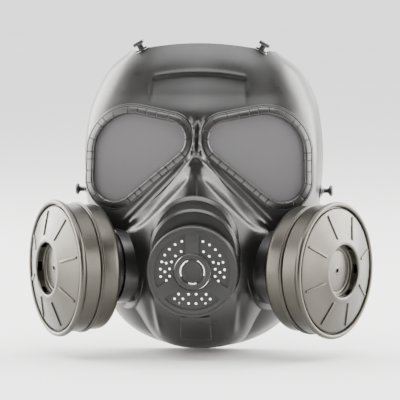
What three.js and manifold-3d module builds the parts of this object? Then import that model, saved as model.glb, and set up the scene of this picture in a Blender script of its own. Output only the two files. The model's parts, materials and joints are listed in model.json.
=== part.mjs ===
// Full face respirator: a rigid facepiece with two screw-on filter canisters.
// Millimetres, +Z up, the face looks along -Y, and the wearer's head enters from +Y.
// "left" and "right" are as seen from the front, so left is -X.

import * as THREE from 'three';
import { mergeVertices } from 'three/addons/utils/BufferGeometryUtils.js';
import Module from 'manifold-3d';

// ---------------------------------------------------------------- driving dimensions

const GAP = 0.3; // left between pieces that touch

// Facepiece shell
const SHELL_HALF_WIDTH = 91; // at eye level
const SHELL_WALL = 3;
const FACE_DEPTH = 85; // rear plane to cheek front
const CROWN_TOP = 110.5; // upper edge at its ends
const CROWN_ARCH = 7.6; // how much the upper edge rises to its middle
const BROW_HEIGHT = 66; // where the crown starts to close in
const JAW_HEIGHT = -70; // height of the jaw corner, about which the chin cup curves
const JAW_INSET = 25; // jaw corner ahead of the rear plane
const CHIN_RADIUS = 48; // underside of the chin below the jaw corner
const CHIN_SWEEP = THREE.MathUtils.degToRad(90); // how far the chin cup wraps under
const MUZZLE_RISE = 19; // muzzle front ahead of the cheeks
const MUZZLE_HALF_WIDTH = 64;

// Eyepieces
const BRIDGE_HALF_WIDTH = 9; // middle of the nose to the lens edge
const TEMPLE_MARGIN = 10.8; // lens edge to the side of the shell
const EYE_CENTRE_HEIGHT = 31;
const EYE_WRAP = THREE.MathUtils.degToRad(14.7);
const EYE_SLANT = THREE.MathUtils.degToRad(5);
const EYE_SINK = 3; // lens plane behind the skin at the middle of the eye
const LENS_THICKNESS = 2.4;
const LENS_NASAL_RADIUS = 13.75;
const LENS_TEMPLE_RADIUS = 30;
const LENS_LOWER_RADIUS = 17.1;
const RIM_WIDTH = 6.8; // band seen round the lens
const RIM_HEIGHT = 3.4;
const RIM_LAP = 1.6; // how far the lens runs under the rim
const LENS_GASKET_THICKNESS = 1.2;
const EYE_FRAME_MARGIN = 1.4; // frame beyond the rim
const EYE_FRAME_DEPTH = 12;
const RIM_SCREWS = 3;
const RIM_SCREW_RADIUS = 1.5;
const RIM_SCREW_HEAD_RADIUS = 2.8;

// Speech and exhalation assembly, round a fore-and-aft axis
const GRILLE_RADIUS = 34.8;
const GRILLE_HEIGHT = -51; // of its axis
const GRILLE_THICKNESS = 3.6;
const GRILLE_FIELD_OUTER = 29.2; // sunk sectors
const GRILLE_FIELD_INNER = 14.2;
const GRILLE_FIELD_DEPTH = 1.2;
const GRILLE_SPOKE_HALF_WIDTH = 5;
const GRILLE_HOLE_RADIUS = 1;
const HOOD_RADIUS = 33.4; // upper step of the muzzle
const HOOD_RISE = 23; // its axis above the grille's
const COLLAR_RISE = 12.3; // middle step's axis above the grille's
const STEP_DEPTH = 5; // each step ahead of the one behind
const MUZZLE_WALL = 3.4; // round and ahead of the hollow behind the steps
const SPEECH_BORE = 27;
const SPEECH_HOUSING_DEPTH = 5.2;
const DIAPHRAGM_THICKNESS = 0.5;
const HUB_RADIUS = 13.8;
const HUB_SLOT_OUTER = 9.7;
const HUB_SLOT_INNER = 8.6;
const HUB_PROUD = 1.2; // ring ahead of the grille face
const EXHALE_TRAVEL = 2;
const FLAP_THICKNESS = 0.8;

// Inlets and canisters, round an axis that points forward and outward
const INLET_SEAL_MARGIN = 13.3; // along the cheek, inlet boss to the face seal
const INLET_HEIGHT = -52;
const INLET_YAW = THREE.MathUtils.degToRad(61); // from straight ahead
const INLET_BOSS_WIDTH = 5.5; // beyond the socket hole
const INLET_BOSS_PROUD = 4;
const INLET_BOSS_DEPTH = 15;
const NECK_OUTER_RADIUS = 18.4;
const NECK_WALL = 2.9;
const NECK_LENGTH = 14.3;
const THREAD_HEIGHT = 1.5; // crest beyond the neck
const THREAD_PITCH = 25.4 / 7;
const THREAD_TURNS = 2;
const SOCKET_CLEARANCE = 0.7; // thread crest to socket bore
const SOCKET_WALL = 2.6;
const SOCKET_FLANGE_WIDTH = 3.8; // beyond the socket's own wall
const SOCKET_FLANGE_THICKNESS = 4;
const LOCKNUT_THICKNESS = 3.2;
const LOCKNUT_WIDTH = 4; // beyond the socket and its clearance
const GASKET_WIDTH = 4.8;
const GASKET_THICKNESS = 2.7;
const SHOULDER_LAP = 1; // shoulder beyond the gasket
const CANISTER_RADIUS = 52.5; // over the rim lip
const RIM_LIP_OVERHANG = 3.5; // rim lip beyond the front drum
const DRUM_STEP = 1; // front drum beyond the rear drum
const DRUM_WALL = 1.8;
const REAR_DRUM_DEPTH = 18;
const FRONT_DRUM_DEPTH = 18;
const CONE_RISE = 7;
const INTAKE_RADIUS = 21;
const INTAKE_DEPTH = 6.5;
const INTAKE_WINDOWS = 6;
const RIB_COUNT = 8;
const RIB_PHASE = THREE.MathUtils.degToRad(16);
const RIB_INNER_INSET = 5; // rib's inner end beyond the intake cup
const RIB_OUTER_INSET = 4; // rib's outer end inside the front drum
const RIB_WIDTH = 2;
const RIB_RISE = 0.9;
const SCREEN_THICKNESS = 1;
const CARBON_DEPTH = 14;

// Strap studs
const SIDE_STUD_HEIGHT = 2;
const SIDE_STUD_FORWARD = 17; // ahead of the rear plane
const SIDE_STUD_HEAD_RADIUS = 4.3;
const SIDE_STUD_NECK_RADIUS = 1.9;
const STUD_SHANK_RADIUS = 1.7;
const SIDE_STUD_LENGTH = 9.6;
const SIDE_STUD_SEAT = 0.6; // seat proud of the shell side
const TOP_STUD_SPREAD = 45.5; // from the middle
const TOP_STUD_LEAN = THREE.MathUtils.degToRad(30);
const TOP_STUD_HEAD = 8.6;
const TOP_STUD_HEAD_HEIGHT = 2.6;
const TOP_STUD_LENGTH = 7.6;
const TOP_STUD_SHANK = 2.6;
const TOP_STUD_SEAT = -1.5; // seat above the edge, so the edge is notched for it
const TOP_STUD_NOTCH = 10.4; // width of the notch

// Chin block
const CHIN_BLOCK_WIDTH = 23;
const CHIN_BLOCK_HEIGHT = 19;
const CHIN_BLOCK_CENTRE = -97;
const CHIN_BLOCK_PROUD = 1.6;

// Face seal
const SEAL_WIDTH = 12;
const SEAL_THICKNESS = 4.4;
const SEAL_EDGE = 2.5; // inside the edge of the shell
const SEAL_STANDOFF = 2; // clear of the shell's inside

const SIDES = [
  { name: 'left', sign: -1 },
  { name: 'right', sign: 1 },
];

// ---------------------------------------------------------------- materials

function material(color, roughness, metalness = 0) {
  return new THREE.MeshStandardMaterial({ color, roughness, metalness });
}

const shellBlack = () => material(0x1b1b1d, 0.42);
const rimBlack = () => material(0x151516, 0.5);
const rubberBlack = () => material(0x121212, 0.75);
const grilleBlack = () => material(0x202022, 0.45);
const gunmetal = () => material(0x3a3936, 0.38, 0.35);
const steel = () => material(0x9a9a98, 0.35, 0.9);
const smokeLens = () => {
  const lens = material(0x55565a, 0.08);
  lens.transparent = true;
  lens.opacity = 0.5;
  return lens;
};
const clearFilm = () => {
  const film = material(0xe4e8ea, 0.15);
  film.transparent = true;
  film.opacity = 0.3;
  return film;
};
const silicone = () => material(0xc9c6bb, 0.5);
const filterPaper = () => material(0xe6e2d4, 0.9);
const carbon = () => material(0x0d0d0d, 0.95);

// ---------------------------------------------------------------- solid helpers

const wasm = await Module();
wasm.setup();

function toManifold(source) {
  const bare = source.clone();
  bare.deleteAttribute('normal');
  bare.deleteAttribute('uv');
  const merged = mergeVertices(bare, 1e-4);
  return new wasm.Manifold(new wasm.Mesh({
    numProp: 3,
    vertProperties: new Float32Array(merged.attributes.position.array),
    triVerts: new Uint32Array(merged.index.array),
  }));
}

function toGeometry(solid) {
  const mesh = solid.getMesh();
  const geometry = new THREE.BufferGeometry();
  geometry.setAttribute('position', new THREE.BufferAttribute(new Float32Array(mesh.vertProperties), 3));
  geometry.setIndex(new THREE.BufferAttribute(new Uint32Array(mesh.triVerts), 1));
  geometry.computeVertexNormals();
  return geometry;
}

// joins the first list of geometries and cuts the second from it
function solid(joined, cut = []) {
  let body = toManifold(joined[0]);
  for (const piece of joined.slice(1)) {
    body = body.add(toManifold(piece));
  }
  for (const piece of cut) {
    body = body.subtract(toManifold(piece));
  }
  return toGeometry(body);
}

function common(first, second) {
  return toGeometry(toManifold(first).intersect(toManifold(second)));
}

// a solid of revolution round local Z from a closed list of [radius, height] corners
function turned(corners, segments = 24) {
  const profile = corners.map(([radius, height]) => new THREE.Vector2(radius, height));
  profile.push(profile[0].clone());
  return new THREE.LatheGeometry(profile, segments).rotateX(Math.PI / 2);
}

// a solid disc or rod round local Z
function rod(radius, bottom, top, segments = 24) {
  return new THREE.CylinderGeometry(radius, radius, top - bottom, segments)
    .rotateX(Math.PI / 2)
    .translate(0, 0, (bottom + top) / 2);
}

// a flat ring round local Z
function ring(inner, outer, bottom, top, segments = 24) {
  return turned([[inner, bottom], [outer, bottom], [outer, top], [inner, top]], segments);
}

function block(width, depth, height, x = 0, y = 0, z = 0) {
  return new THREE.BoxGeometry(width, depth, height).translate(x, y, z);
}

function prism(shape, bottom, top) {
  return new THREE.ExtrudeGeometry(shape, { depth: top - bottom, bevelEnabled: false, curveSegments: 8 })
    .translate(0, 0, bottom);
}

// a moved copy, turned right side out again where the matrix mirrors it
function placed(geometry, matrix) {
  const copy = mergeVertices(geometry.clone().deleteAttribute('normal').deleteAttribute('uv'), 1e-4);
  copy.applyMatrix4(matrix);
  if (matrix.determinant() < 0) {
    copy.setIndex(Array.from(copy.index.array).reverse());
  }
  return copy;
}

const group = new THREE.Group();

function mesh(name, geometry, finish, parent = group) {
  const piece = new THREE.Mesh(geometry, finish);
  piece.name = name;
  parent.add(piece);
  return piece;
}

// ---------------------------------------------------------------- facepiece surface

// a smooth curve through a few [station, value] pairs, in rising order of station
function curveThrough(pairs) {
  const stations = pairs.map(([station]) => station);
  const values = pairs.map(([, value]) => value);
  const slopes = values.map((value, i) => {
    const before = Math.max(i - 1, 0);
    const after = Math.min(i + 1, values.length - 1);
    return (values[after] - values[before]) / (stations[after] - stations[before]);
  });
  return (at) => {
    const station = THREE.MathUtils.clamp(at, stations[0], stations.at(-1));
    let i = 0;
    while (i < stations.length - 2 && station > stations[i + 1]) {
      i += 1;
    }
    const span = stations[i + 1] - stations[i];
    const t = (station - stations[i]) / span;
    const rise = values[i + 1] - values[i];
    const near = slopes[i] * span;
    const far = slopes[i + 1] * span;
    return values[i] + near * t + (3 * rise - 2 * near - far) * t * t + (near + far - 2 * rise) * t ** 3;
  };
}

const crown = (share) => BROW_HEIGHT + share * (CROWN_TOP - BROW_HEIGHT);
const chinStation = (angle) => JAW_HEIGHT - CHIN_RADIUS * angle;

// shares of the half width and of the face depth by height; below the jaw the station runs round the chin
const widthShare = curveThrough([
  [chinStation(CHIN_SWEEP), 0.80], [JAW_HEIGHT, 0.84], [-45, 0.90], [-20, 0.96], [5, 0.99],
  [35, 1], [crown(0), 0.96], [crown(0.3), 0.91], [crown(0.68), 0.80], [crown(1), 0.62],
]);
const depthShare = curveThrough([
  [JAW_HEIGHT, 0.99], [-45, 1.01], [-10, 1.01], [20, 1.0], [45, 0.97], [crown(0), 0.90],
  [crown(0.3), 0.80], [crown(0.68), 0.68], [crown(1), 0.56],
]);
// how far forward of the rear plane the edge lies
const edgeForward = curveThrough([
  [JAW_HEIGHT, JAW_INSET], [-40, 10], [0, 1], [crown(0), 0], [crown(0.5), 6], [crown(1), 26],
]);
// how far ahead of its edge line each level's section stops
const jawOpening = curveThrough([[chinStation(CHIN_SWEEP), 6], [JAW_HEIGHT, 6], [-40, 0], [0, 0]]);
// how square each level's section is, and how much its front sweeps back from the nose
const squareness = curveThrough([
  [chinStation(1), 2.1], [JAW_HEIGHT, 2.5], [-45, 3.6], [0, 6], [45, 6.5],
  [crown(0.25), 4.2], [crown(1), 2.5],
]);
const sweepBack = curveThrough([
  [JAW_HEIGHT, 0], [-45, 0.1], [0, 0.24], [45, 0.26], [crown(0.25), 0.16], [crown(1), 0],
]);
// the muzzle and nose, as shares of their rise and half width
const muzzleRise = curveThrough([
  [chinStation(1.15), 0], [-98, 0.72], [-80, 0.97], [-50, 1], [-5, 1],
  [10, 0.84], [26, 0.5], [42, 0.16], [60, 0],
]);
const muzzleSpread = curveThrough([
  [chinStation(1.15), 0.5], [-98, 0.66], [-50, 1], [-18, 0.8], [8, 0.38], [26, 0.16], [45, 0.14],
]);

function halfWidth(station) {
  return SHELL_HALF_WIDTH * widthShare(station);
}

function muzzle(x, station) {
  const inboard = 1 - Math.abs(x) / (MUZZLE_HALF_WIDTH * muzzleSpread(station));
  if (inboard <= 0) {
    return 0;
  }
  return MUZZLE_RISE * muzzleRise(station) * (1 - (1 - inboard) ** 3);
}

// how far a level's section reaches forward of its edge line, in the middle
function frontReach(station) {
  if (station >= JAW_HEIGHT) {
    return FACE_DEPTH * depthShare(station) - edgeForward(station);
  }
  const turn = Math.min(1, (JAW_HEIGHT - station) / (CHIN_RADIUS * Math.PI / 2));
  return THREE.MathUtils.lerp(frontReach(JAW_HEIGHT), CHIN_RADIUS, turn);
}

// the outer skin at a share (-1 to 1) of the half width and a station
function skin(share, station) {
  const x = halfWidth(station) * share;
  const power = squareness(station);
  const swept = sweepBack(station) * (Math.hypot(x, 6) - 6);
  const round = Math.max(0, 1 - Math.abs(share) ** power) ** (1 / power);
  const reach = (frontReach(station) - swept) * round + muzzle(x, station);
  if (station >= JAW_HEIGHT) {
    const closing = THREE.MathUtils.smoothstep(station, BROW_HEIGHT, CROWN_TOP);
    const arch = CROWN_ARCH * closing * (1 - share * share);
    return new THREE.Vector3(x, -edgeForward(station) - reach, station + arch);
  }
  const angle = (JAW_HEIGHT - station) / CHIN_RADIUS;
  return new THREE.Vector3(x, -JAW_INSET - reach * Math.cos(angle), JAW_HEIGHT - reach * Math.sin(angle));
}

// the share at which a level's section stops, which keeps the edge round the jaw corner open
function edgeShare(station) {
  const power = squareness(station);
  const opening = Math.max(0, jawOpening(station)) / frontReach(station);
  return (1 - opening ** power) ** (1 / power);
}

function skinNormal(share, station) {
  const step = 1e-3;
  const inside = THREE.MathUtils.clamp(share, -1 + 2 * step, 1 - 2 * step);
  const across = skin(inside + step, station).sub(skin(inside - step, station));
  const up = skin(inside, station + 0.1).sub(skin(inside, station - 0.1));
  return across.cross(up).normalize();
}

// the outer skin straight ahead of a point (x, z)
function skinAt(x, height) {
  return skin(x / halfWidth(height), height);
}

// shares of the half width that space points evenly along one level's section
function evenShares(station, count) {
  const samples = 400;
  const limit = edgeShare(station);
  const lengths = [0];
  const shares = [-limit];
  let before = skin(-limit, station);
  for (let i = 1; i <= samples; i += 1) {
    const share = -limit * Math.cos((Math.PI * i) / samples);
    const here = skin(share, station);
    lengths.push(lengths.at(-1) + here.distanceTo(before));
    shares.push(share);
    before = here;
  }
  const spaced = [];
  let k = 0;
  for (let i = 0; i <= count; i += 1) {
    const want = (lengths.at(-1) * i) / count;
    while (k < samples - 1 && lengths[k + 1] < want) {
      k += 1;
    }
    const t = (want - lengths[k]) / (lengths[k + 1] - lengths[k]);
    spaced.push(THREE.MathUtils.lerp(shares[k], shares[k + 1], t));
  }
  return spaced;
}

// the share reached by walking some distance along a level's section from its end
function shareInFrom(station, distance) {
  const step = 0.001;
  let share = edgeShare(station);
  let before = skin(share, station);
  let left = distance;
  while (left > 0) {
    const here = skin(share - step, station);
    const walked = here.distanceTo(before);
    share -= step * Math.min(1, left / walked);
    left -= walked;
    before = here;
  }
  return share;
}

const SHELL_COLUMNS = 24;
const SHELL_ROWS = 20;
const stations = [];
for (let i = 0; i <= SHELL_ROWS; i += 1) {
  stations.push(THREE.MathUtils.lerp(CROWN_TOP, chinStation(CHIN_SWEEP), i / SHELL_ROWS));
}

// a closed sheet between two layers of points, each [row][column]
function sheetBetween(front, back) {
  const rows = front.length;
  const columns = front[0].length;
  const positions = [];
  for (const layer of [front, back]) {
    for (const row of layer) {
      for (const point of row) {
        positions.push(point.x, point.y, point.z);
      }
    }
  }
  const at = (layer, row, column) => (layer * rows + row) * columns + column;
  const faces = [];
  const quad = (a, b, c, d) => faces.push(a, b, c, a, c, d);
  for (let row = 0; row < rows - 1; row += 1) {
    for (let column = 0; column < columns - 1; column += 1) {
      quad(at(0, row, column), at(0, row + 1, column), at(0, row + 1, column + 1), at(0, row, column + 1));
      quad(at(1, row, column), at(1, row, column + 1), at(1, row + 1, column + 1), at(1, row + 1, column));
    }
    quad(at(0, row, 0), at(1, row, 0), at(1, row + 1, 0), at(0, row + 1, 0));
    const last = columns - 1;
    quad(at(0, row + 1, last), at(1, row + 1, last), at(1, row, last), at(0, row, last));
  }
  for (let column = 0; column < columns - 1; column += 1) {
    quad(at(0, 0, column + 1), at(1, 0, column + 1), at(1, 0, column), at(0, 0, column));
    const last = rows - 1;
    quad(at(0, last, column), at(1, last, column), at(1, last, column + 1), at(0, last, column + 1));
  }
  const sheet = new THREE.BufferGeometry();
  sheet.setAttribute('position', new THREE.Float32BufferAttribute(positions, 3));
  sheet.setIndex(faces);
  return sheet;
}

function skinLayer(inward) {
  return stations.map((station) => evenShares(station, SHELL_COLUMNS).map((share) => {
    const normal = skinNormal(share, station);
    return skin(share, station).addScaledVector(normal, -inward);
  }));
}

const shellSheet = sheetBetween(skinLayer(0), skinLayer(SHELL_WALL));

// ---------------------------------------------------------------- eyepieces

// The lens outline is the hull of three discs: nasal, temple and lower.
const eyeCentreX = (BRIDGE_HALF_WIDTH + halfWidth(EYE_CENTRE_HEIGHT) - TEMPLE_MARGIN) / 2;
const lensHalfSpan = (eyeCentreX - BRIDGE_HALF_WIDTH) / Math.cos(EYE_WRAP);
const lensDiscs = [
  { x: -lensHalfSpan + LENS_NASAL_RADIUS, y: 15, radius: LENS_NASAL_RADIUS },
  { x: lensHalfSpan - LENS_LOWER_RADIUS, y: -16.1, radius: LENS_LOWER_RADIUS },
  { x: lensHalfSpan - LENS_TEMPLE_RADIUS, y: 3.8, radius: LENS_TEMPLE_RADIUS },
];

// the lens outline, grown outward by some margin, as points running anticlockwise
function lensOutline(margin, arcSteps = 6) {
  const points = [];
  lensDiscs.forEach((disc, i) => {
    const before = lensDiscs[(i + 2) % 3];
    const after = lensDiscs[(i + 1) % 3];
    const start = tangentAngle(before, disc);
    let end = tangentAngle(disc, after);
    while (end < start) {
      end += 2 * Math.PI;
    }
    for (let k = 0; k <= arcSteps; k += 1) {
      const angle = THREE.MathUtils.lerp(start, end, k / arcSteps);
      const reach = disc.radius + margin;
      points.push(new THREE.Vector2(disc.x + reach * Math.cos(angle), disc.y + reach * Math.sin(angle)));
    }
  });
  return points;
}

// direction of the outer tangent's normal between two discs taken anticlockwise
function tangentAngle(from, to) {
  const along = Math.atan2(to.y - from.y, to.x - from.x);
  const apart = Math.hypot(to.x - from.x, to.y - from.y);
  return along - Math.acos((from.radius - to.radius) / apart);
}

function outlineRing(outer, inner) {
  const shape = new THREE.Shape(lensOutline(outer));
  shape.holes.push(new THREE.Path(lensOutline(inner)));
  return shape;
}

// eyepiece frame: +Z out of the face, +Y up, origin at the middle of the lens front plane
function eyeMatrix(sign) {
  const depthAhead = -skinAt(eyeCentreX, EYE_CENTRE_HEIGHT).y - EYE_SINK;
  const turn = new THREE.Matrix4().makeRotationZ(EYE_WRAP);
  const stand = new THREE.Matrix4().makeRotationX(Math.PI / 2 - EYE_SLANT);
  const place = new THREE.Matrix4().makeTranslation(eyeCentreX, -depthAhead, EYE_CENTRE_HEIGHT);
  const mirror = new THREE.Matrix4().makeScale(sign, 1, 1);
  return mirror.multiply(place).multiply(turn).multiply(stand);
}

const rimBottom = GAP;
const lensEdge = RIM_LAP;
const gasketBottom = -LENS_THICKNESS - GAP - LENS_GASKET_THICKNESS;
const frameOuter = RIM_WIDTH + EYE_FRAME_MARGIN;
const SCREW_THREAD_DEPTH = 2; // into the rim

// screw places, spaced evenly round the middle of the rim
function rimScrewPlaces() {
  const outline = lensOutline(RIM_WIDTH / 2 + 1).map((point) => new THREE.Vector3(point.x, point.y, 0));
  const curve = new THREE.CatmullRomCurve3(outline, true);
  return Array.from({ length: RIM_SCREWS }, (_, i) => curve.getPointAt((i + 0.55) / RIM_SCREWS));
}

function lensRim() {
  const holes = rimScrewPlaces().map((point) => (
    rod(RIM_SCREW_RADIUS + GAP, -1, rimBottom + SCREW_THREAD_DEPTH + GAP, 8).translate(point.x, point.y, 0)
  ));
  return solid([prism(outlineRing(RIM_WIDTH, 0), rimBottom, rimBottom + RIM_HEIGHT)], holes);
}

function rimScrew(point) {
  const top = rimBottom + SCREW_THREAD_DEPTH;
  const seat = -EYE_FRAME_DEPTH - GAP;
  return turned([
    [0, seat - 2], [RIM_SCREW_HEAD_RADIUS, seat - 2], [RIM_SCREW_HEAD_RADIUS, seat],
    [RIM_SCREW_RADIUS, seat], [RIM_SCREW_RADIUS, top], [0, top],
  ], 8).translate(point.x, point.y, 0);
}

for (const { name, sign } of SIDES) {
  const eye = new THREE.Group();
  eye.applyMatrix4(eyeMatrix(sign));
  group.add(eye);
  mesh(`${name}_lens`, prism(new THREE.Shape(lensOutline(lensEdge)), -LENS_THICKNESS, 0), smokeLens(), eye);
  mesh(
    `${name}_lens_gasket`,
    prism(outlineRing(lensEdge, -0.8), gasketBottom, gasketBottom + LENS_GASKET_THICKNESS),
    rubberBlack(),
    eye,
  );
  mesh(`${name}_lens_rim`, lensRim(), rimBlack(), eye);
  rimScrewPlaces().forEach((point, i) => {
    mesh(`${name}_rim_screw_${i + 1}`, rimScrew(point), steel(), eye);
  });
}

const eyeJoins = [];
const eyeCuts = [];
for (const { sign } of SIDES) {
  const at = eyeMatrix(sign);
  eyeJoins.push(placed(prism(outlineRing(frameOuter, -0.8), -EYE_FRAME_DEPTH, 0), at));
  eyeCuts.push(placed(prism(new THREE.Shape(lensOutline(-0.8)), -40, 30), at));
  eyeCuts.push(placed(prism(new THREE.Shape(lensOutline(lensEdge + GAP)), gasketBottom - GAP, 30), at));
  eyeCuts.push(placed(prism(new THREE.Shape(lensOutline(RIM_WIDTH + GAP)), 0, 30), at));
  for (const point of rimScrewPlaces()) {
    const hole = rod(RIM_SCREW_RADIUS + GAP, -EYE_FRAME_DEPTH - 1, 5, 8);
    eyeCuts.push(placed(hole.translate(point.x, point.y, 0), at));
  }
}

// ---------------------------------------------------------------- speech and exhalation assembly

// Everything here turns about the grille axis: +Z of the group points forward, its origin is where
// the muzzle's foremost step ends.
const muzzleFront = -skin(0, GRILLE_HEIGHT).y;
const hoodFront = muzzleFront + STEP_DEPTH - 1;
const collarFront = hoodFront + STEP_DEPTH;
const speech = new THREE.Group();
speech.position.set(0, -collarFront, GRILLE_HEIGHT);
speech.rotation.x = Math.PI / 2;
group.add(speech);
speech.updateMatrix();

const housingBottom = GAP;
const housingTop = housingBottom + SPEECH_HOUSING_DEPTH;
const housingSeat = housingBottom + 1.6;
const diaphragmOuter = SPEECH_BORE + 1.6;
const diaphragmBottom = housingSeat + GAP;
const clampBottom = diaphragmBottom + DIAPHRAGM_THICKNESS + GAP;
const grilleBottom = housingTop + GAP;
const grilleTop = grilleBottom + GRILLE_THICKNESS;
const fieldFloor = grilleTop - GRILLE_FIELD_DEPTH;
const skirtInner = HUB_RADIUS - 1.4;
const valveSeatTop = diaphragmBottom - GAP;
const flapRadius = skirtInner - 0.8;
const flapBottom = valveSeatTop + GAP;
const hubDiscBottom = flapBottom + FLAP_THICKNESS + EXHALE_TRAVEL + GAP;

mesh('speech_housing', turned([
  [SPEECH_BORE, housingBottom], [GRILLE_RADIUS, housingBottom], [GRILLE_RADIUS, housingTop],
  [diaphragmOuter + 0.6, housingTop], [diaphragmOuter + 0.6, housingSeat], [SPEECH_BORE, housingSeat],
], 32), shellBlack(), speech);
mesh(
  'speech_diaphragm',
  ring(HUB_RADIUS + GAP, diaphragmOuter, diaphragmBottom, diaphragmBottom + DIAPHRAGM_THICKNESS),
  clearFilm(),
  speech,
);
mesh(
  'diaphragm_ring',
  ring(SPEECH_BORE + 0.4, diaphragmOuter + GAP, clampBottom, housingTop),
  steel(),
  speech,
);

const GRILLE_SPOKES = [90, 214, 326]; // degrees
const SIDE_HOLE_ROWS = [
  { radius: 24.5, from: 109, to: 189, count: 7 },
  { radius: 21, from: 162, to: 199, count: 3 },
  { radius: 17.6, from: 119, to: 191, count: 5 },
];
const LOWER_HOLE_ROWS = [
  { height: -17.1, offsets: [2.9, 10.5] },
  { height: -20.7, offsets: [7.2, 13.6] },
  { height: -24.2, offsets: [2.8, 10.1] },
];

function sectorOutlines() {
  const outerHalf = Math.asin(GRILLE_SPOKE_HALF_WIDTH / GRILLE_FIELD_OUTER);
  const innerHalf = Math.asin(GRILLE_SPOKE_HALF_WIDTH / GRILLE_FIELD_INNER);
  return GRILLE_SPOKES.map((degrees, i) => {
    const start = THREE.MathUtils.degToRad(degrees);
    const next = i < 2 ? GRILLE_SPOKES[i + 1] : GRILLE_SPOKES[0] + 360;
    const end = THREE.MathUtils.degToRad(next);
    const shape = new THREE.Shape();
    shape.absarc(0, 0, GRILLE_FIELD_OUTER, start + outerHalf, end - outerHalf, false);
    shape.absarc(0, 0, GRILLE_FIELD_INNER, end - innerHalf, start + innerHalf, true);
    return shape;
  });
}

function grilleHolePlaces() {
  const places = [];
  for (const { radius, from, to, count } of SIDE_HOLE_ROWS) {
    for (let i = 0; i < count; i += 1) {
      const angle = THREE.MathUtils.degToRad(THREE.MathUtils.lerp(from, to, i / (count - 1)));
      const x = radius * Math.cos(angle);
      places.push([x, radius * Math.sin(angle)], [-x, radius * Math.sin(angle)]);
    }
  }
  for (const { height, offsets } of LOWER_HOLE_ROWS) {
    for (const offset of offsets) {
      places.push([offset, height], [-offset, height]);
    }
  }
  return places;
}

const grilleCuts = [rod(HUB_RADIUS + GAP, grilleBottom - 1, grilleTop + 1)];
for (const shape of sectorOutlines()) {
  grilleCuts.push(prism(shape, fieldFloor, grilleTop + 1));
}
for (const [x, y] of grilleHolePlaces()) {
  grilleCuts.push(rod(GRILLE_HOLE_RADIUS, grilleBottom - 1, grilleTop, 6).translate(x, y, 0));
}
mesh('grille_disc', solid([turned([
  [0, grilleBottom], [GRILLE_RADIUS, grilleBottom], [GRILLE_RADIUS, grilleTop - 0.8],
  [GRILLE_RADIUS - 0.8, grilleTop], [0, grilleTop],
], 32)], grilleCuts), grilleBlack(), speech);

// hub: a chamfered ring with a skirt, and a low centre disc held by three webs
function hubCover() {
  const top = grilleTop + HUB_PROUD;
  const base = turned([
    [skirtInner, valveSeatTop + GAP], [HUB_RADIUS, valveSeatTop + GAP], [HUB_RADIUS, top - 1],
    [HUB_RADIUS - 1, top], [HUB_SLOT_OUTER + 1.2, top], [HUB_SLOT_OUTER, top - 1.2],
    [HUB_SLOT_OUTER, hubDiscBottom], [skirtInner, hubDiscBottom],
  ]);
  const centre = rod(HUB_SLOT_INNER, hubDiscBottom, hubDiscBottom + 2.2);
  const webMiddle = hubDiscBottom + 1.1;
  const webs = [90, 229, 311].map((degrees) => block(4, 6.8, 2.2, HUB_SLOT_OUTER - 0.5, 0, webMiddle)
    .rotateZ(THREE.MathUtils.degToRad(degrees)));
  return solid([base, centre, ...webs]);
}
mesh('hub_cover', hubCover(), grilleBlack(), speech);

// valve seat: a ring, three thin webs and a middle boss, below the flap
function webbedSeat(outer, inner, boss, bottom, top, turn) {
  const webs = [0, 1, 2].map((i) => block(inner, 1.6, top - bottom, inner / 2 + 0.5, 0, (bottom + top) / 2)
    .rotateZ(turn + (i * 2 * Math.PI) / 3));
  return solid([ring(inner, outer, bottom, top), rod(boss, bottom, top, 9), ...webs]);
}
mesh(
  'exhalation_valve_seat',
  webbedSeat(HUB_RADIUS, skirtInner - 2, 2.5, valveSeatTop - 2.4, valveSeatTop, Math.PI / 2),
  shellBlack(),
  speech,
);
mesh('exhalation_flap', rod(flapRadius, flapBottom, flapBottom + FLAP_THICKNESS, 32), silicone(), speech);

const forwardTurn = new THREE.Matrix4().makeRotationX(Math.PI / 2);
const forward = (geometry, height) => placed(geometry, forwardTurn).translate(0, 0, height);
const muzzleJoins = [
  forward(rod(HOOD_RADIUS, FACE_DEPTH - 6, hoodFront, 32), GRILLE_HEIGHT + HOOD_RISE),
  forward(rod(GRILLE_RADIUS, FACE_DEPTH - 6, (hoodFront + collarFront) / 2, 32), GRILLE_HEIGHT + COLLAR_RISE),
  forward(rod(GRILLE_RADIUS, FACE_DEPTH - 6, collarFront, 32), GRILLE_HEIGHT),
];
const muzzleBack = FACE_DEPTH - 20;
const muzzleCuts = [
  forward(rod(SPEECH_BORE, muzzleBack, 200, 32), GRILLE_HEIGHT),
  forward(rod(HOOD_RADIUS - MUZZLE_WALL, muzzleBack, hoodFront - MUZZLE_WALL, 32), GRILLE_HEIGHT + HOOD_RISE),
  forward(rod(GRILLE_RADIUS - MUZZLE_WALL, muzzleBack, collarFront - MUZZLE_WALL, 32), GRILLE_HEIGHT),
];

// ---------------------------------------------------------------- inlets and canisters

const neckBore = NECK_OUTER_RADIUS - NECK_WALL;
const threadCrest = NECK_OUTER_RADIUS + THREAD_HEIGHT;
const socketBore = threadCrest + SOCKET_CLEARANCE;
const socketOuter = socketBore + SOCKET_WALL;
const bossHole = socketOuter + GAP;
const bossRadius = bossHole + INLET_BOSS_WIDTH;
const locknutRadius = socketOuter + GAP + LOCKNUT_WIDTH;
const gasketInner = threadCrest + GAP;
const gasketOuter = gasketInner + GASKET_WIDTH;
const shoulderRadius = gasketOuter + SHOULDER_LAP;
const flangeRadius = socketOuter + SOCKET_FLANGE_WIDTH;
const flangeBottom = INLET_BOSS_PROUD + GAP;
const flangeTop = flangeBottom + SOCKET_FLANGE_THICKNESS;
const bossBottom = INLET_BOSS_PROUD - INLET_BOSS_DEPTH;
const locknutTop = bossBottom - GAP;
const socketBottom = locknutTop - LOCKNUT_THICKNESS - 1;
const gasketSeat = flangeTop + GAP;
const shoulder = gasketSeat + GASKET_THICKNESS + GAP;
const drumBack = shoulder + 3.4;
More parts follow.
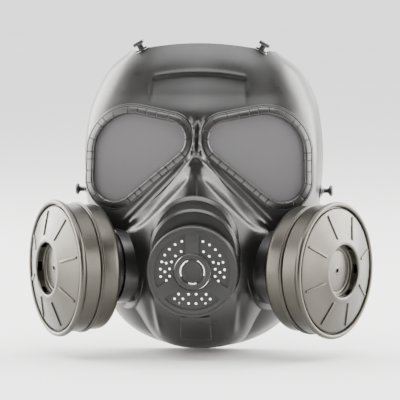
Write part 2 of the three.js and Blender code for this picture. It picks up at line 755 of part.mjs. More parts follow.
const seam = drumBack + REAR_DRUM_DEPTH;
const rimPlane = seam + FRONT_DRUM_DEPTH;
const frontDrumRadius = CANISTER_RADIUS - RIM_LIP_OVERHANG;
const rearDrumRadius = frontDrumRadius - DRUM_STEP;
const frontInner = frontDrumRadius - DRUM_WALL;
const rearInner = rearDrumRadius - DRUM_WALL;
const backInner = drumBack + 2;
const neckTip = shoulder - NECK_LENGTH;

// inlet frame: +Z out along the canister axis, +Y up, origin on the cheek skin
function inletMatrix(sign) {
  const fromEdge = SEAL_EDGE + SEAL_WIDTH + INLET_SEAL_MARGIN + bossRadius;
  const origin = skin(shareInFrom(INLET_HEIGHT, fromEdge), INLET_HEIGHT);
  const turn = new THREE.Matrix4().makeRotationZ(sign * INLET_YAW);
  const stand = new THREE.Matrix4().makeRotationX(Math.PI / 2);
  return new THREE.Matrix4().makeTranslation(sign * origin.x, origin.y, origin.z)
    .multiply(turn)
    .multiply(stand);
}

// a helical ridge standing on the neck
function threadRidge(bottom, turns, base, crest) {
  const stepsPerTurn = 12;
  const steps = Math.round(turns * stepsPerTurn);
  const half = THREAD_PITCH * 0.36;
  const section = [[base - 0.5, -half], [crest, -half * 0.35], [crest, half * 0.35], [base - 0.5, half]];
  const positions = [];
  for (let i = 0; i <= steps; i += 1) {
    const angle = (2 * Math.PI * i) / stepsPerTurn;
    const rise = bottom + half + (THREAD_PITCH * i) / stepsPerTurn;
    for (const [radius, offset] of section) {
      positions.push(radius * Math.cos(angle), radius * Math.sin(angle), rise + offset);
    }
  }
  const faces = [0, 1, 2, 0, 2, 3];
  for (let i = 0; i < steps; i += 1) {
    for (let k = 0; k < 4; k += 1) {
      const a = i * 4 + k;
      const b = i * 4 + ((k + 1) % 4);
      faces.push(a, a + 4, b + 4, a, b + 4, b);
    }
  }
  const last = steps * 4;
  faces.push(last, last + 2, last + 1, last, last + 3, last + 2);
  const ridge = new THREE.BufferGeometry();
  ridge.setAttribute('position', new THREE.Float32BufferAttribute(positions, 3));
  ridge.setIndex(faces);
  return ridge;
}

function rearHousing() {
  const drum = turned([
    [neckBore, neckTip], [NECK_OUTER_RADIUS, neckTip], [NECK_OUTER_RADIUS, shoulder],
    [shoulderRadius, shoulder], [shoulderRadius, drumBack],
    [rearDrumRadius - 4, drumBack], [rearDrumRadius - 1.2, drumBack + 1.2],
    [rearDrumRadius, drumBack + 4], [rearDrumRadius, seam - GAP], [rearInner, seam - GAP],
    [rearInner, backInner + 3], [rearInner - 3, backInner], [neckBore, backInner],
  ]);
  return solid([drum, threadRidge(neckTip + 0.6, THREAD_TURNS, NECK_OUTER_RADIUS, threadCrest)]);
}

function frontHousing() {
  return turned([
    [frontInner, seam], [frontDrumRadius, seam], [frontDrumRadius, rimPlane - 6],
    [CANISTER_RADIUS - 0.9, rimPlane - 4.6], [CANISTER_RADIUS, rimPlane - 3.2],
    [CANISTER_RADIUS, rimPlane - 0.8], [CANISTER_RADIUS - 1, rimPlane],
    [frontDrumRadius, rimPlane], [frontDrumRadius, rimPlane - 3.6], [frontInner, rimPlane - 3.6],
  ], 32);
}

const coverEdge = frontDrumRadius - GAP;
const coverSeat = rimPlane - 3.6 + GAP;
const intakeRim = rimPlane + CONE_RISE;
const intakeFloor = intakeRim - INTAKE_DEPTH;
const COVER_WALL = 1.6;
const coverLip = coverSeat + COVER_WALL;

function frontCover() {
  const plate = turned([
    [1.5, intakeFloor - COVER_WALL], [INTAKE_RADIUS + 0.6, intakeFloor - COVER_WALL],
    [INTAKE_RADIUS + 0.6, intakeRim - COVER_WALL - 0.4], [coverEdge - 1.5, coverSeat + 0.4],
    [coverEdge, coverSeat], [coverEdge, coverLip], [coverEdge - 1.2, coverLip + 1],
    [INTAKE_RADIUS + 1.6, intakeRim],
    [INTAKE_RADIUS - 0.2, intakeRim], [INTAKE_RADIUS - 1, intakeRim - 1], [INTAKE_RADIUS - 1.2, intakeFloor],
    [1.5, intakeFloor],
  ], 32);
  const slope = Math.atan2(intakeRim - coverLip - 1, coverEdge - 1.2 - INTAKE_RADIUS - 1.6);
  const ribInner = INTAKE_RADIUS + RIB_INNER_INSET;
  const ribOuter = frontDrumRadius - RIB_OUTER_INSET;
  const middle = (ribInner + ribOuter) / 2;
  const faceThere = intakeRim - (middle - INTAKE_RADIUS - 1.6) * Math.tan(slope);
  const ribs = [];
  for (let i = 0; i < RIB_COUNT; i += 1) {
    ribs.push(block((ribOuter - ribInner) / Math.cos(slope), RIB_WIDTH, 2 * RIB_RISE)
      .rotateY(slope)
      .translate(middle, 0, faceThere)
      .rotateZ(RIB_PHASE + (i * 2 * Math.PI) / RIB_COUNT));
  }
  const windows = [];
  for (let i = 0; i < INTAKE_WINDOWS; i += 1) {
    windows.push(block(6, 7, INTAKE_DEPTH - 3, INTAKE_RADIUS, 0, intakeFloor + INTAKE_DEPTH / 2)
      .rotateZ((i * 2 * Math.PI) / INTAKE_WINDOWS));
  }
  return solid([plate, ...ribs], windows);
}

// the filter stack inside, from the back
const rearScreen = backInner + GAP + 0.8;
const carbonBottom = rearScreen + SCREEN_THICKNESS + GAP;
const carbonTop = carbonBottom + CARBON_DEPTH - 2;
const middleScreen = Math.max(carbonTop, seam) + GAP;
const filterBottom = middleScreen + SCREEN_THICKNESS + GAP;
const frontScreen = rimPlane - 3.6 - SCREEN_THICKNESS - 0.6;
const filterTop = frontScreen - GAP;
const PLEATS = 12;

function pleatedFilter() {
  const radius = frontInner - 0.6;
  const pitch = (2 * radius) / PLEATS;
  const thickness = 1.6;
  const outline = [];
  for (let i = 0; i <= PLEATS; i += 1) {
    outline.push(new THREE.Vector2(-radius + i * pitch, i % 2 ? filterTop - thickness : filterBottom));
  }
  for (let i = PLEATS; i >= 0; i -= 1) {
    outline.push(new THREE.Vector2(-radius + i * pitch, i % 2 ? filterTop : filterBottom + thickness));
  }
  const pack = prism(new THREE.Shape(outline), -radius, radius).rotateX(Math.PI / 2);
  return common(pack, rod(radius - 0.2, filterBottom - 1, filterTop + 1, 24));
}

function screen(radius, bottom) {
  return ring(2, radius, bottom, bottom + SCREEN_THICKNESS, 20);
}

function locknut() {
  const lugs = [0, 1, 2, 3].map((i) => block(6, 8, LOCKNUT_THICKNESS, locknutRadius, 0, 0)
    .rotateZ((i * Math.PI) / 2)
    .translate(0, 0, locknutTop - LOCKNUT_THICKNESS / 2));
  const nut = ring(socketOuter + GAP, locknutRadius, locknutTop - LOCKNUT_THICKNESS, locknutTop);
  return solid([nut, ...lugs], [
    rod(socketOuter + GAP, locknutTop - 20, locknutTop + 20),
  ]);
}

const VALVE_SEAT_DEPTH = 2.2;
const VALVE_SEAT_WIDTH = 7.3;
const valvePort = socketBore - GAP - VALVE_SEAT_WIDTH;
const inhaleSeatBottom = socketBottom + 0.2;
const inhaleFlapTop = inhaleSeatBottom - GAP;

for (const { name, sign } of SIDES) {
  const inlet = new THREE.Group();
  inlet.applyMatrix4(inletMatrix(sign));
  group.add(inlet);
  mesh(`${name}_inlet_socket`, turned([
    [socketBore, socketBottom], [socketOuter, socketBottom], [socketOuter, flangeBottom],
    [flangeRadius, flangeBottom], [flangeRadius, flangeTop], [socketBore, flangeTop],
  ]), shellBlack(), inlet);
  mesh(`${name}_inlet_locknut`, locknut(), rimBlack(), inlet);
  mesh(
    `${name}_inhalation_valve_seat`,
    webbedSeat(socketBore - GAP, valvePort, 2.5, inhaleSeatBottom, inhaleSeatBottom + VALVE_SEAT_DEPTH, 0),
    shellBlack(),
    inlet,
  );
  mesh(
    `${name}_inhalation_flap`,
    rod(valvePort + 2, inhaleFlapTop - FLAP_THICKNESS, inhaleFlapTop, 32),
    silicone(),
    inlet,
  );
  mesh(
    `${name}_canister_gasket`,
    ring(gasketInner, gasketOuter, gasketSeat, gasketSeat + GASKET_THICKNESS),
    rubberBlack(),
    inlet,
  );
  mesh(`${name}_canister_rear_housing`, rearHousing(), gunmetal(), inlet);
  mesh(
    `${name}_canister_seam_band`,
    ring(rearDrumRadius + GAP, frontDrumRadius + 1, seam - 3.4, seam - GAP),
    gunmetal(),
    inlet,
  );
  mesh(`${name}_canister_front_housing`, frontHousing(), gunmetal(), inlet);
  mesh(`${name}_canister_front_cover`, frontCover(), gunmetal(), inlet);
  mesh(`${name}_rear_screen`, screen(rearInner - 3.4, rearScreen), steel(), inlet);
  mesh(`${name}_carbon_bed`, rod(rearInner - 0.5, carbonBottom + 2, carbonTop, 24), carbon(), inlet);
  mesh(`${name}_middle_screen`, screen(frontInner - 0.4, middleScreen), steel(), inlet);
  mesh(`${name}_particulate_filter`, pleatedFilter(), filterPaper(), inlet);
  mesh(`${name}_front_screen`, screen(frontInner - 0.4, frontScreen), steel(), inlet);
}

const inletJoins = [];
const inletCuts = [];
for (const { sign } of SIDES) {
  const at = inletMatrix(sign);
  inletJoins.push(placed(rod(bossRadius, bossBottom, INLET_BOSS_PROUD), at));
  inletCuts.push(placed(rod(bossHole, -40, 30), at));
  inletCuts.push(placed(rod(locknutRadius + 4, bossBottom - 12, bossBottom, 16), at));
  inletCuts.push(placed(rod(bossRadius + 1, INLET_BOSS_PROUD, 14), at));
}

// ---------------------------------------------------------------- strap studs

// stud frames: +Z out along the stud, origin on the seat that the shell gives it
function sideStudMatrix(sign) {
  const x = halfWidth(SIDE_STUD_HEIGHT) + SIDE_STUD_SEAT;
  const turn = new THREE.Matrix4().makeRotationY((sign * Math.PI) / 2);
  return new THREE.Matrix4().makeTranslation(sign * x, -SIDE_STUD_FORWARD, SIDE_STUD_HEIGHT).multiply(turn);
}

function topStudMatrix(sign) {
  const foot = skinAt(TOP_STUD_SPREAD, CROWN_TOP);
  const turn = new THREE.Matrix4().makeRotationY(sign * TOP_STUD_LEAN);
  return new THREE.Matrix4().makeTranslation(sign * TOP_STUD_SPREAD, foot.y + 0.9, foot.z + TOP_STUD_SEAT)
    .multiply(turn);
}

const studJoins = [];
const studCuts = [];
for (const { name, sign } of SIDES) {
  const side = new THREE.Group();
  side.applyMatrix4(sideStudMatrix(sign));
  group.add(side);
  mesh(`${name}_side_stud`, turned([
    [0, -SHELL_WALL - SIDE_STUD_SEAT], [STUD_SHANK_RADIUS, -SHELL_WALL - SIDE_STUD_SEAT],
    [STUD_SHANK_RADIUS, GAP], [SIDE_STUD_HEAD_RADIUS, GAP], [SIDE_STUD_NECK_RADIUS, GAP + 2],
    [SIDE_STUD_NECK_RADIUS, SIDE_STUD_LENGTH - 3.4], [SIDE_STUD_HEAD_RADIUS, SIDE_STUD_LENGTH - 2.6],
    [SIDE_STUD_HEAD_RADIUS, SIDE_STUD_LENGTH - 0.8], [SIDE_STUD_HEAD_RADIUS - 1, SIDE_STUD_LENGTH],
    [0, SIDE_STUD_LENGTH],
  ], 12), rimBlack(), side);
  studJoins.push(placed(rod(SIDE_STUD_HEAD_RADIUS + 1.6, -3, 0, 24), sideStudMatrix(sign)));
  studCuts.push(placed(rod(STUD_SHANK_RADIUS + GAP, -12, 5, 16), sideStudMatrix(sign)));

  const top = new THREE.Group();
  top.applyMatrix4(topStudMatrix(sign));
  group.add(top);
  const headMiddle = TOP_STUD_LENGTH - TOP_STUD_HEAD_HEIGHT / 2;
  mesh(`${name}_top_stud`, solid([
    rod(STUD_SHANK_RADIUS, -TOP_STUD_SHANK, GAP + 1, 12),
    block(8.6, 5, 1.4, 0, 0, GAP + 0.7),
    block(4.4, 4, TOP_STUD_LENGTH - 2, 0, 0, (GAP + TOP_STUD_LENGTH) / 2),
    block(TOP_STUD_HEAD, TOP_STUD_HEAD, TOP_STUD_HEAD_HEIGHT, 0, 0, headMiddle),
  ]), rimBlack(), top);
  const seatDepth = TOP_STUD_SHANK + GAP + 0.8;
  studJoins.push(placed(block(11, 5.4, seatDepth, 0, 0, -seatDepth / 2), topStudMatrix(sign)));
  studCuts.push(placed(block(TOP_STUD_NOTCH, 9, 9, 0, 0, 4.5), topStudMatrix(sign)));
  studCuts.push(placed(rod(STUD_SHANK_RADIUS + GAP, -TOP_STUD_SHANK - GAP, 5, 12), topStudMatrix(sign)));
}

// ---------------------------------------------------------------- facepiece shell

const chinBlock = common(
  block(CHIN_BLOCK_WIDTH, 60, CHIN_BLOCK_HEIGHT, 0, skin(0, CHIN_BLOCK_CENTRE).y, CHIN_BLOCK_CENTRE),
  sheetBetween(skinLayer(-CHIN_BLOCK_PROUD), skinLayer(SHELL_WALL / 2)),
);

mesh('facepiece_shell', solid(
  [shellSheet, ...eyeJoins, ...muzzleJoins, ...inletJoins, ...studJoins, chinBlock],
  [...eyeCuts, ...muzzleCuts, ...inletCuts, ...studCuts],
), shellBlack());

// ---------------------------------------------------------------- face seal

// a soft band lying on the inside of the shell, just ahead of its edge
const sealInset = SEAL_WIDTH / 2 + SEAL_EDGE;

// [share, station] round the seal's middle line
function sealPlaces() {
  const top = CROWN_TOP - sealInset;
  const bottom = chinStation(CHIN_SWEEP) + sealInset;
  const sideSteps = 12;
  const endSteps = 7;
  const left = [];
  for (let i = 0; i <= sideSteps; i += 1) {
    const station = THREE.MathUtils.lerp(top, bottom, i / sideSteps);
    left.push([-shareInFrom(station, sealInset), station]);
  }
  const right = left.map(([share, station]) => [-share, station]).reverse();
  const across = (station, from) => Array.from({ length: endSteps - 1 }, (_, i) => (
    [from * (1 - (2 * (i + 1)) / endSteps), station]
  ));
  return [...left, ...across(bottom, left.at(-1)[0]), ...right, ...across(top, right.at(-1)[0])];
}

function edgeLoop(inward) {
  const points = sealPlaces().map(([share, station]) => (
    skin(share, station).addScaledVector(skinNormal(share, station), -inward)
  ));
  return new THREE.CatmullRomCurve3(points, true);
}

function faceSeal() {
  const middle = SHELL_WALL + SEAL_STANDOFF + SEAL_THICKNESS / 2;
  const centre = edgeLoop(middle);
  const deeper = edgeLoop(middle + 1);
  const steps = 44;
  const sides = 8;
  const positions = [];
  for (let i = 0; i < steps; i += 1) {
    const at = centre.getPoint(i / steps);
    const outward = at.clone().sub(deeper.getPoint(i / steps)).normalize();
    const across = centre.getTangent(i / steps).cross(outward).normalize();
    for (let k = 0; k < sides; k += 1) {
      const angle = (2 * Math.PI * k) / sides;
      const point = at.clone()
        .addScaledVector(across, (SEAL_WIDTH / 2) * Math.cos(angle))
        .addScaledVector(outward, (SEAL_THICKNESS / 2) * Math.sin(angle));
      positions.push(point.x, point.y, point.z);
    }
  }
  const faces = [];
  for (let i = 0; i < steps; i += 1) {
    for (let k = 0; k < sides; k += 1) {
      const a = i * sides + k;
      const b = i * sides + ((k + 1) % sides);
      const c = ((i + 1) % steps) * sides + k;
      const d = ((i + 1) % steps) * sides + ((k + 1) % sides);
      faces.push(a, d, b, a, c, d);
    }
  }
  const band = new THREE.BufferGeometry();
  band.setAttribute('position', new THREE.Float32BufferAttribute(positions, 3));
  band.setIndex(faces);
  band.computeVertexNormals();
  return band;
}
mesh('face_seal', faceSeal(), rubberBlack());

export default group;
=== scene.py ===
"""Full face respirator: detailed shells, rims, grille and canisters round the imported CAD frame.

Lengths are written in millimetres, as in the CAD, and turned into metres where a mesh is made.
"""

import json
import math

import bmesh
import bpy
import numpy as np
from mathutils import Matrix, Vector


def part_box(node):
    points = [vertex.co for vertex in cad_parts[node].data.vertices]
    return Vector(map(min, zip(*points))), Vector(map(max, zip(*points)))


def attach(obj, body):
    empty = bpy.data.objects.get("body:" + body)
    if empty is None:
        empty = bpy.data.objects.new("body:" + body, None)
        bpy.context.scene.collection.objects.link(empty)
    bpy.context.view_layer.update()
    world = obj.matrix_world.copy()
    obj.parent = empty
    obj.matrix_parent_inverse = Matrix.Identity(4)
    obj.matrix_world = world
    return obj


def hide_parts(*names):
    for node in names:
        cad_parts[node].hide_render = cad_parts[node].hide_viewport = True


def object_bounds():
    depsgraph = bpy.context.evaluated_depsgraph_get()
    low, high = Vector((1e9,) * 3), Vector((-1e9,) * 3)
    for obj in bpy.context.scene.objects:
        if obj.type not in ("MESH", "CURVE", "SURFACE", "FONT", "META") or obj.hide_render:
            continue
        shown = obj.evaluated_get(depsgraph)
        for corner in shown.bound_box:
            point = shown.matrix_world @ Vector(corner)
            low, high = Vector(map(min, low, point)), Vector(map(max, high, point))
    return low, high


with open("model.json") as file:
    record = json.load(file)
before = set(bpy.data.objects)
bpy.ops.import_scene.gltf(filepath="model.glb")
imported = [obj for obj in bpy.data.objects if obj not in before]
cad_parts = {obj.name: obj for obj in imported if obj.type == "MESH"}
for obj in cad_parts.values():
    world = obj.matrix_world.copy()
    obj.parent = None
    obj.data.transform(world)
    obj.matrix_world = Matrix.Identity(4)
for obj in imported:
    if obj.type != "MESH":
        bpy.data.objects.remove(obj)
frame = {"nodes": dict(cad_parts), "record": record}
cad_low, cad_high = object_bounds()

MM = 0.001
SIDES = (("left", -1), ("right", 1))


def middle(node):
    """Middle of a CAD node's box, in mm."""
    low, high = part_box(node)
    return (low + high) / 2 / MM


# ---------------------------------------------------------------- camera

VIEW_AZIMUTH = math.radians(5)
VIEW_ELEVATION = math.radians(5.4)
VIEW_DISTANCE = 5.0


def make_camera():
    width = 1.168 * (cad_high.x - cad_low.x)
    right = Vector((math.cos(VIEW_AZIMUTH), math.sin(VIEW_AZIMUTH), 0))
    back = Vector((
        math.sin(VIEW_AZIMUTH) * math.cos(VIEW_ELEVATION),
        -math.cos(VIEW_AZIMUTH) * math.cos(VIEW_ELEVATION),
        math.sin(VIEW_ELEVATION),
    ))
    up = back.cross(right)
    aim = -0.0047 * right - 0.0075 * up
    data = bpy.data.cameras.new("camera")
    data.sensor_width = 36
    data.lens = data.sensor_width * VIEW_DISTANCE / width
    data.clip_end = 50
    camera = bpy.data.objects.new("camera", data)
    bpy.context.collection.objects.link(camera)
    camera.location = aim + back * VIEW_DISTANCE
    camera.rotation_mode = "QUATERNION"
    camera.rotation_quaternion = (-back).to_track_quat("-Z", "Y")
    bpy.context.scene.camera = camera


make_camera()

# ---------------------------------------------------------------- materials


class Finish:
    """A procedural material: a Principled shader fed by a few noise textures."""

    def __init__(self, name):
        self.material = bpy.data.materials.new(name)
        self.material.use_nodes = True
        self.tree = self.material.node_tree
        self.shader = self.tree.nodes["Principled BSDF"]
        self.coordinates = self.add("ShaderNodeTexCoord").outputs["Object"]
        self.height = None

    def add(self, kind):
        return self.tree.nodes.new(kind)

    def link(self, start, end):
        self.tree.links.new(start, end)

    def noise(self, scale, detail=3.0, stretch=(1, 1, 1), roughness=0.55):
        mapping = self.add("ShaderNodeMapping")
        mapping.inputs["Scale"].default_value = stretch
        self.link(self.coordinates, mapping.inputs["Vector"])
        noise = self.add("ShaderNodeTexNoise")
        noise.inputs["Scale"].default_value = scale
        noise.inputs["Detail"].default_value = detail
        noise.inputs["Roughness"].default_value = roughness
        self.link(mapping.outputs["Vector"], noise.inputs["Vector"])
        return noise.outputs["Fac"]

    def spread(self, source, low, high, start=0.3, end=0.7):
        """Maps a noise to a range."""
        ramp = self.add("ShaderNodeMapRange")
        ramp.inputs["From Min"].default_value = start
        ramp.inputs["From Max"].default_value = end
        ramp.inputs["To Min"].default_value = low
        ramp.inputs["To Max"].default_value = high
        self.link(source, ramp.inputs["Value"])
        return ramp.outputs["Result"]

    def colours(self, source, dark, light, start=0.3, end=0.7):
        ramp = self.add("ShaderNodeValToRGB")
        ramp.color_ramp.elements[0].position = start
        ramp.color_ramp.elements[1].position = end
        ramp.color_ramp.elements[0].color = (*dark, 1)
        ramp.color_ramp.elements[1].color = (*light, 1)
        self.link(source, ramp.inputs["Fac"])
        self.link(ramp.outputs["Color"], self.shader.inputs["Base Color"])

    def gloss(self, low, high, *noise, **more):
        self.link(self.spread(self.noise(*noise, **more), low, high), self.shader.inputs["Roughness"])

    def bump(self, source, strength, distance_mm):
        bump = self.add("ShaderNodeBump")
        bump.inputs["Strength"].default_value = strength
        bump.inputs["Distance"].default_value = distance_mm * MM
        self.link(source, bump.inputs["Height"])
        if self.height:
            self.link(self.height, bump.inputs["Normal"])
        self.height = bump.outputs["Normal"]
        self.link(self.height, self.shader.inputs["Normal"])

    def soft_edges(self, radius_mm):
        bevel = self.add("ShaderNodeBevel")
        bevel.samples = 4
        bevel.inputs["Radius"].default_value = radius_mm * MM
        self.height = bevel.outputs["Normal"]
        self.link(self.height, self.shader.inputs["Normal"])

    def set(self, **values):
        for name, value in values.items():
            self.shader.inputs[name.replace("_", " ")].default_value = value


def moulded(name, dark, light, rough_low, rough_high, grain=0.12, edge=0.35, specular=0.5):
    """Satin moulded plastic: faint colour clouds, handling marks in the gloss, fine grain."""
    finish = Finish(name)
    finish.soft_edges(edge)
    finish.colours(finish.noise(28, 4), dark, light)
    finish.gloss(rough_low, rough_high, 45, 6, roughness=0.65)
    finish.bump(finish.noise(2600, 2), grain, 0.02)
    finish.bump(finish.noise(90, 2), grain * 0.4, 0.1)
    finish.set(Specular_IOR_Level=specular)
    return finish.material


def brushed(name, dark, light, rough_low, rough_high, metallic):
    """Painted metal with faint turning marks."""
    finish = Finish(name)
    finish.soft_edges(0.25)
    finish.colours(finish.noise(35, 4), dark, light)
    finish.gloss(rough_low, rough_high, 60, 6, roughness=0.6)
    finish.bump(finish.noise(2400, 2), 0.03, 0.03)
    finish.set(Metallic=metallic)
    return finish.material


def rubbery(name, dark, light):
    finish = Finish(name)
    finish.colours(finish.noise(60, 5), dark, light)
    finish.gloss(0.55, 0.8, 80, 4)
    finish.bump(finish.noise(1500, 3), 0.25, 0.05)
    return finish.material


def see_through(name, colour, alpha, rough_low, rough_high):
    finish = Finish(name)
    finish.colours(finish.noise(20, 2), colour, tuple(min(1, c * 1.06) for c in colour))
    finish.gloss(rough_low, rough_high, 90, 5)
    finish.bump(finish.noise(40, 2), 0.02, 0.1)
    finish.set(Alpha=alpha, Specular_IOR_Level=0.35)
    return finish.material


MATERIALS = {name: make(name, *values) for make, name, *values in (
    (moulded, "shell_black", (0.008, 0.008, 0.0078),
    (0.013, 0.0125, 0.012), 0.26, 0.38, 0.12, 0.35, 0.6),
    (moulded, "rim_black", (0.010, 0.010, 0.010), (0.020, 0.019, 0.018), 0.24, 0.40, 0.2, 0.35, 1.0),
    (moulded, "grille_black", (0.012, 0.012, 0.012), (0.018, 0.0175, 0.0175), 0.42, 0.55),
    (rubbery, "seal_rubber", (0.010, 0.010, 0.010), (0.018, 0.018, 0.018)),
    (see_through, "smoke_lens", (0.125, 0.122, 0.128), 0.94, 0.10, 0.2),
    (see_through, "clear_film", (0.85, 0.87, 0.88), 0.08, 0.05, 0.12),
    (see_through, "valve_silicone", (0.72, 0.70, 0.66), 0.25, 0.3, 0.45),
    (brushed, "canister_gunmetal", (0.060, 0.056, 0.047), (0.080, 0.075, 0.064), 0.27, 0.38, 0.85),
    (brushed, "fastener_steel", (0.42, 0.42, 0.41), (0.58, 0.57, 0.55), 0.25, 0.4, 1.0),
    (rubbery, "filter_paper", (0.70, 0.67, 0.58), (0.82, 0.79, 0.70)),
    (rubbery, "carbon", (0.008, 0.008, 0.008), (0.03, 0.03, 0.03)),
)}
SLOT_OF = {row["node"]: row["material_slot"] for row in frame["record"]["subparts"]}
BODY_OF = {
    node: body for body, nodes in frame["record"]["behaviour"]["bodies"].items() for node in nodes
}

# ---------------------------------------------------------------- mesh helpers


def make_object(name, points, faces, sharp_degrees=32):
    """A smooth-shaded mesh object from points in mm."""
    mesh = bpy.data.meshes.new(name)
    mesh.from_pydata([tuple(p) for p in np.asarray(points, float) * MM], [], [tuple(f) for f in faces])
    mesh.validate()
    body = bmesh.new()
    body.from_mesh(mesh)
    bmesh.ops.recalc_face_normals(body, faces=body.faces)
    body.to_mesh(mesh)
    body.free()
    mesh.shade_smooth()
    mesh.set_sharp_from_angle(angle=math.radians(sharp_degrees))
    thing = bpy.data.objects.new(name, mesh)
    bpy.context.collection.objects.link(thing)
    return thing


def stands_for(thing, *nodes):
    """Gives a piece the finish and body listed for the CAD nodes that it replaces, and hides those nodes.
    """
    slot = SLOT_OF[nodes[0]]
    thing.data.materials.clear()
    thing.data.materials.append(MATERIALS[slot])
    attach(thing, BODY_OF[nodes[0]])
    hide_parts(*nodes)
    return thing


def moved(points, matrix):
    """Points in mm through a 4x4 matrix whose translation is in mm."""
    points = np.asarray(points, float)
    matrix = np.array(matrix)
    return points @ matrix[:3, :3].T + matrix[:3, 3]


def rounded(before, corner, after, radius, steps=3):
    """Points that round one corner of an outline."""
    back, on = before - corner, after - corner
    lengths = np.linalg.norm(back), np.linalg.norm(on)
    cut = min(radius, lengths[0] * 0.45, lengths[1] * 0.45)
    start, end = corner + back / lengths[0] * cut, corner + on / lengths[1] * cut
    shares = np.linspace(0, 1, steps + 1)
    return [(1 - t) ** 2 * start + 2 * t * (1 - t) * corner + t * t * end for t in shares]


def fillet(corners, radius, steps=3):
    """Rounds the corners of a closed outline of [a, b] pairs."""
    corners = [np.array(c, float) for c in corners]
    outline = []
    for i, corner in enumerate(corners):
        outline += rounded(corners[i - 1], corner, corners[(i + 1) % len(corners)], radius, steps)
    return outline


def spun(outline, segments):
    """Points of an outline turned round Z."""
    points = []
    for i in range(segments):
        angle = 2 * math.pi * i / segments
        points += [(r * math.cos(angle), r * math.sin(angle), z) for r, z in outline]
    return points


def closed_rings(loops, count):
    """Faces of a closed band of loops with the same number of points."""
    faces = []
    for i in range(loops):
        j = (i + 1) % loops
        for k in range(count):
            m = (k + 1) % count
            faces.append((i * count + k, j * count + k, j * count + m, i * count + m))
    return faces


def lathe_data(profile, segments=96, radius=0.4):
    """Points and faces of a solid of revolution round Z from a closed [radius, height] outline."""
    outline = fillet(profile, radius) if radius else [np.array(p, float) for p in profile]
    return spun(outline, segments), closed_rings(segments, len(outline))


def disc_data(profile, segments=96, radius=0.4):
    """As lathe_data, for a solid that reaches the axis: the profile starts and ends on it."""
    corners = [np.array(c, float) for c in profile]
    inner = []
    for i in range(1, len(corners) - 1):
        inner += rounded(corners[i - 1], corners[i], corners[i + 1], radius)
    count = len(inner)
    points = [(0, 0, corners[0][1]), (0, 0, corners[-1][1])] + spun(inner, segments)
    faces = []
    for i in range(segments):
        a, b = 2 + i * count, 2 + ((i + 1) % segments) * count
        faces.append((0, b, a))
        faces.append((1, a + count - 1, b + count - 1))
        faces += [(a + k, b + k, b + k + 1, a + k + 1) for k in range(count - 1)]
    return points, faces


def rod_data(radius, bottom, top, segments, edge=0.01):
    return disc_data([(0, bottom), (radius, bottom), (radius, top), (0, top)], segments, edge)


def box_data(width, depth, height, x=0, y=0, z=0, edge=0.3):
    """Points and faces of a bevelled box."""
    body = bmesh.new()
    bmesh.ops.create_cube(body, size=1)
    bmesh.ops.scale(body, vec=(width, depth, height), verts=body.verts)
    bmesh.ops.translate(body, vec=(x, y, z), verts=body.verts)
    bmesh.ops.bevel(body, geom=list(body.edges), offset=edge, segments=2, affect="EDGES", profile=0.5)
    points = [tuple(v.co) for v in body.verts]
    faces = [tuple(v.index for v in f.verts) for f in body.faces]
    body.free()
    return points, faces


def prism_data(outline, bottom, top):
    count = len(outline)
    points = [(x, y, bottom) for x, y in outline] + [(x, y, top) for x, y in outline]
    faces = [tuple(range(count))[::-1], tuple(range(count, 2 * count))]
    faces += [(k, (k + 1) % count, (k + 1) % count + count, k + count) for k in range(count)]
    return points, faces


def combine(thing, tools, operation):
    """Joins or cuts a mesh with others, which are used up."""
    for points, faces, matrix in tools:
        tool = make_object("tool", moved(points, matrix), faces)
        step = thing.modifiers.new("combine", "BOOLEAN")
        step.object = tool
        step.operation = operation
        step.solver = "MANIFOLD"
        graph = bpy.context.evaluated_depsgraph_get()
        made = bpy.data.meshes.new_from_object(thing.evaluated_get(graph))
        thing.modifiers.clear()
        old = thing.data
        thing.data = made
        bpy.data.meshes.remove(old)
        bpy.data.objects.remove(tool)
    thing.data.shade_smooth()
    thing.data.set_sharp_from_angle(angle=math.radians(32))
    return thing


def turn_z(degrees):
    return Matrix.Rotation(math.radians(degrees), 4, "Z")


IDENTITY = Matrix.Identity(4)

# ---------------------------------------------------------------- facepiece surface

SHELL_HALF_WIDTH = 91
SHELL_WALL = 3
FACE_DEPTH = 85
CROWN_TOP = 110.5
CROWN_ARCH = 7.6
BROW_HEIGHT = 66
JAW_HEIGHT = -70
JAW_INSET = 25
CHIN_RADIUS = 48
CHIN_SWEEP = math.radians(90)
MUZZLE_RISE = 19
MUZZLE_HALF_WIDTH = 64


def curve_through(pairs):
    """A smooth curve through a few [station, value] pairs, as in the CAD."""
    stations, values = np.array(pairs, float).T
    slopes = np.empty_like(values)
    slopes[1:-1] = (values[2:] - values[:-2]) / (stations[2:] - stations[:-2])
    slopes[0] = (values[1] - values[0]) / (stations[1] - stations[0])
    slopes[-1] = (values[-1] - values[-2]) / (stations[-1] - stations[-2])

    def at(where):
        station = np.clip(where, stations[0], stations[-1])
        i = np.clip(np.searchsorted(stations, station) - 1, 0, len(stations) - 2)
        span = stations[i + 1] - stations[i]
        t = (station - stations[i]) / span
        rise = values[i + 1] - values[i]
        near, far = slopes[i] * span, slopes[i + 1] * span
        return values[i] + near * t + (3 * rise - 2 * near - far) * t**2 + (near + far - 2 * rise) * t**3

    return at


def crown(share):
    return BROW_HEIGHT + share * (CROWN_TOP - BROW_HEIGHT)


def chin_station(angle):
    return JAW_HEIGHT - CHIN_RADIUS * angle


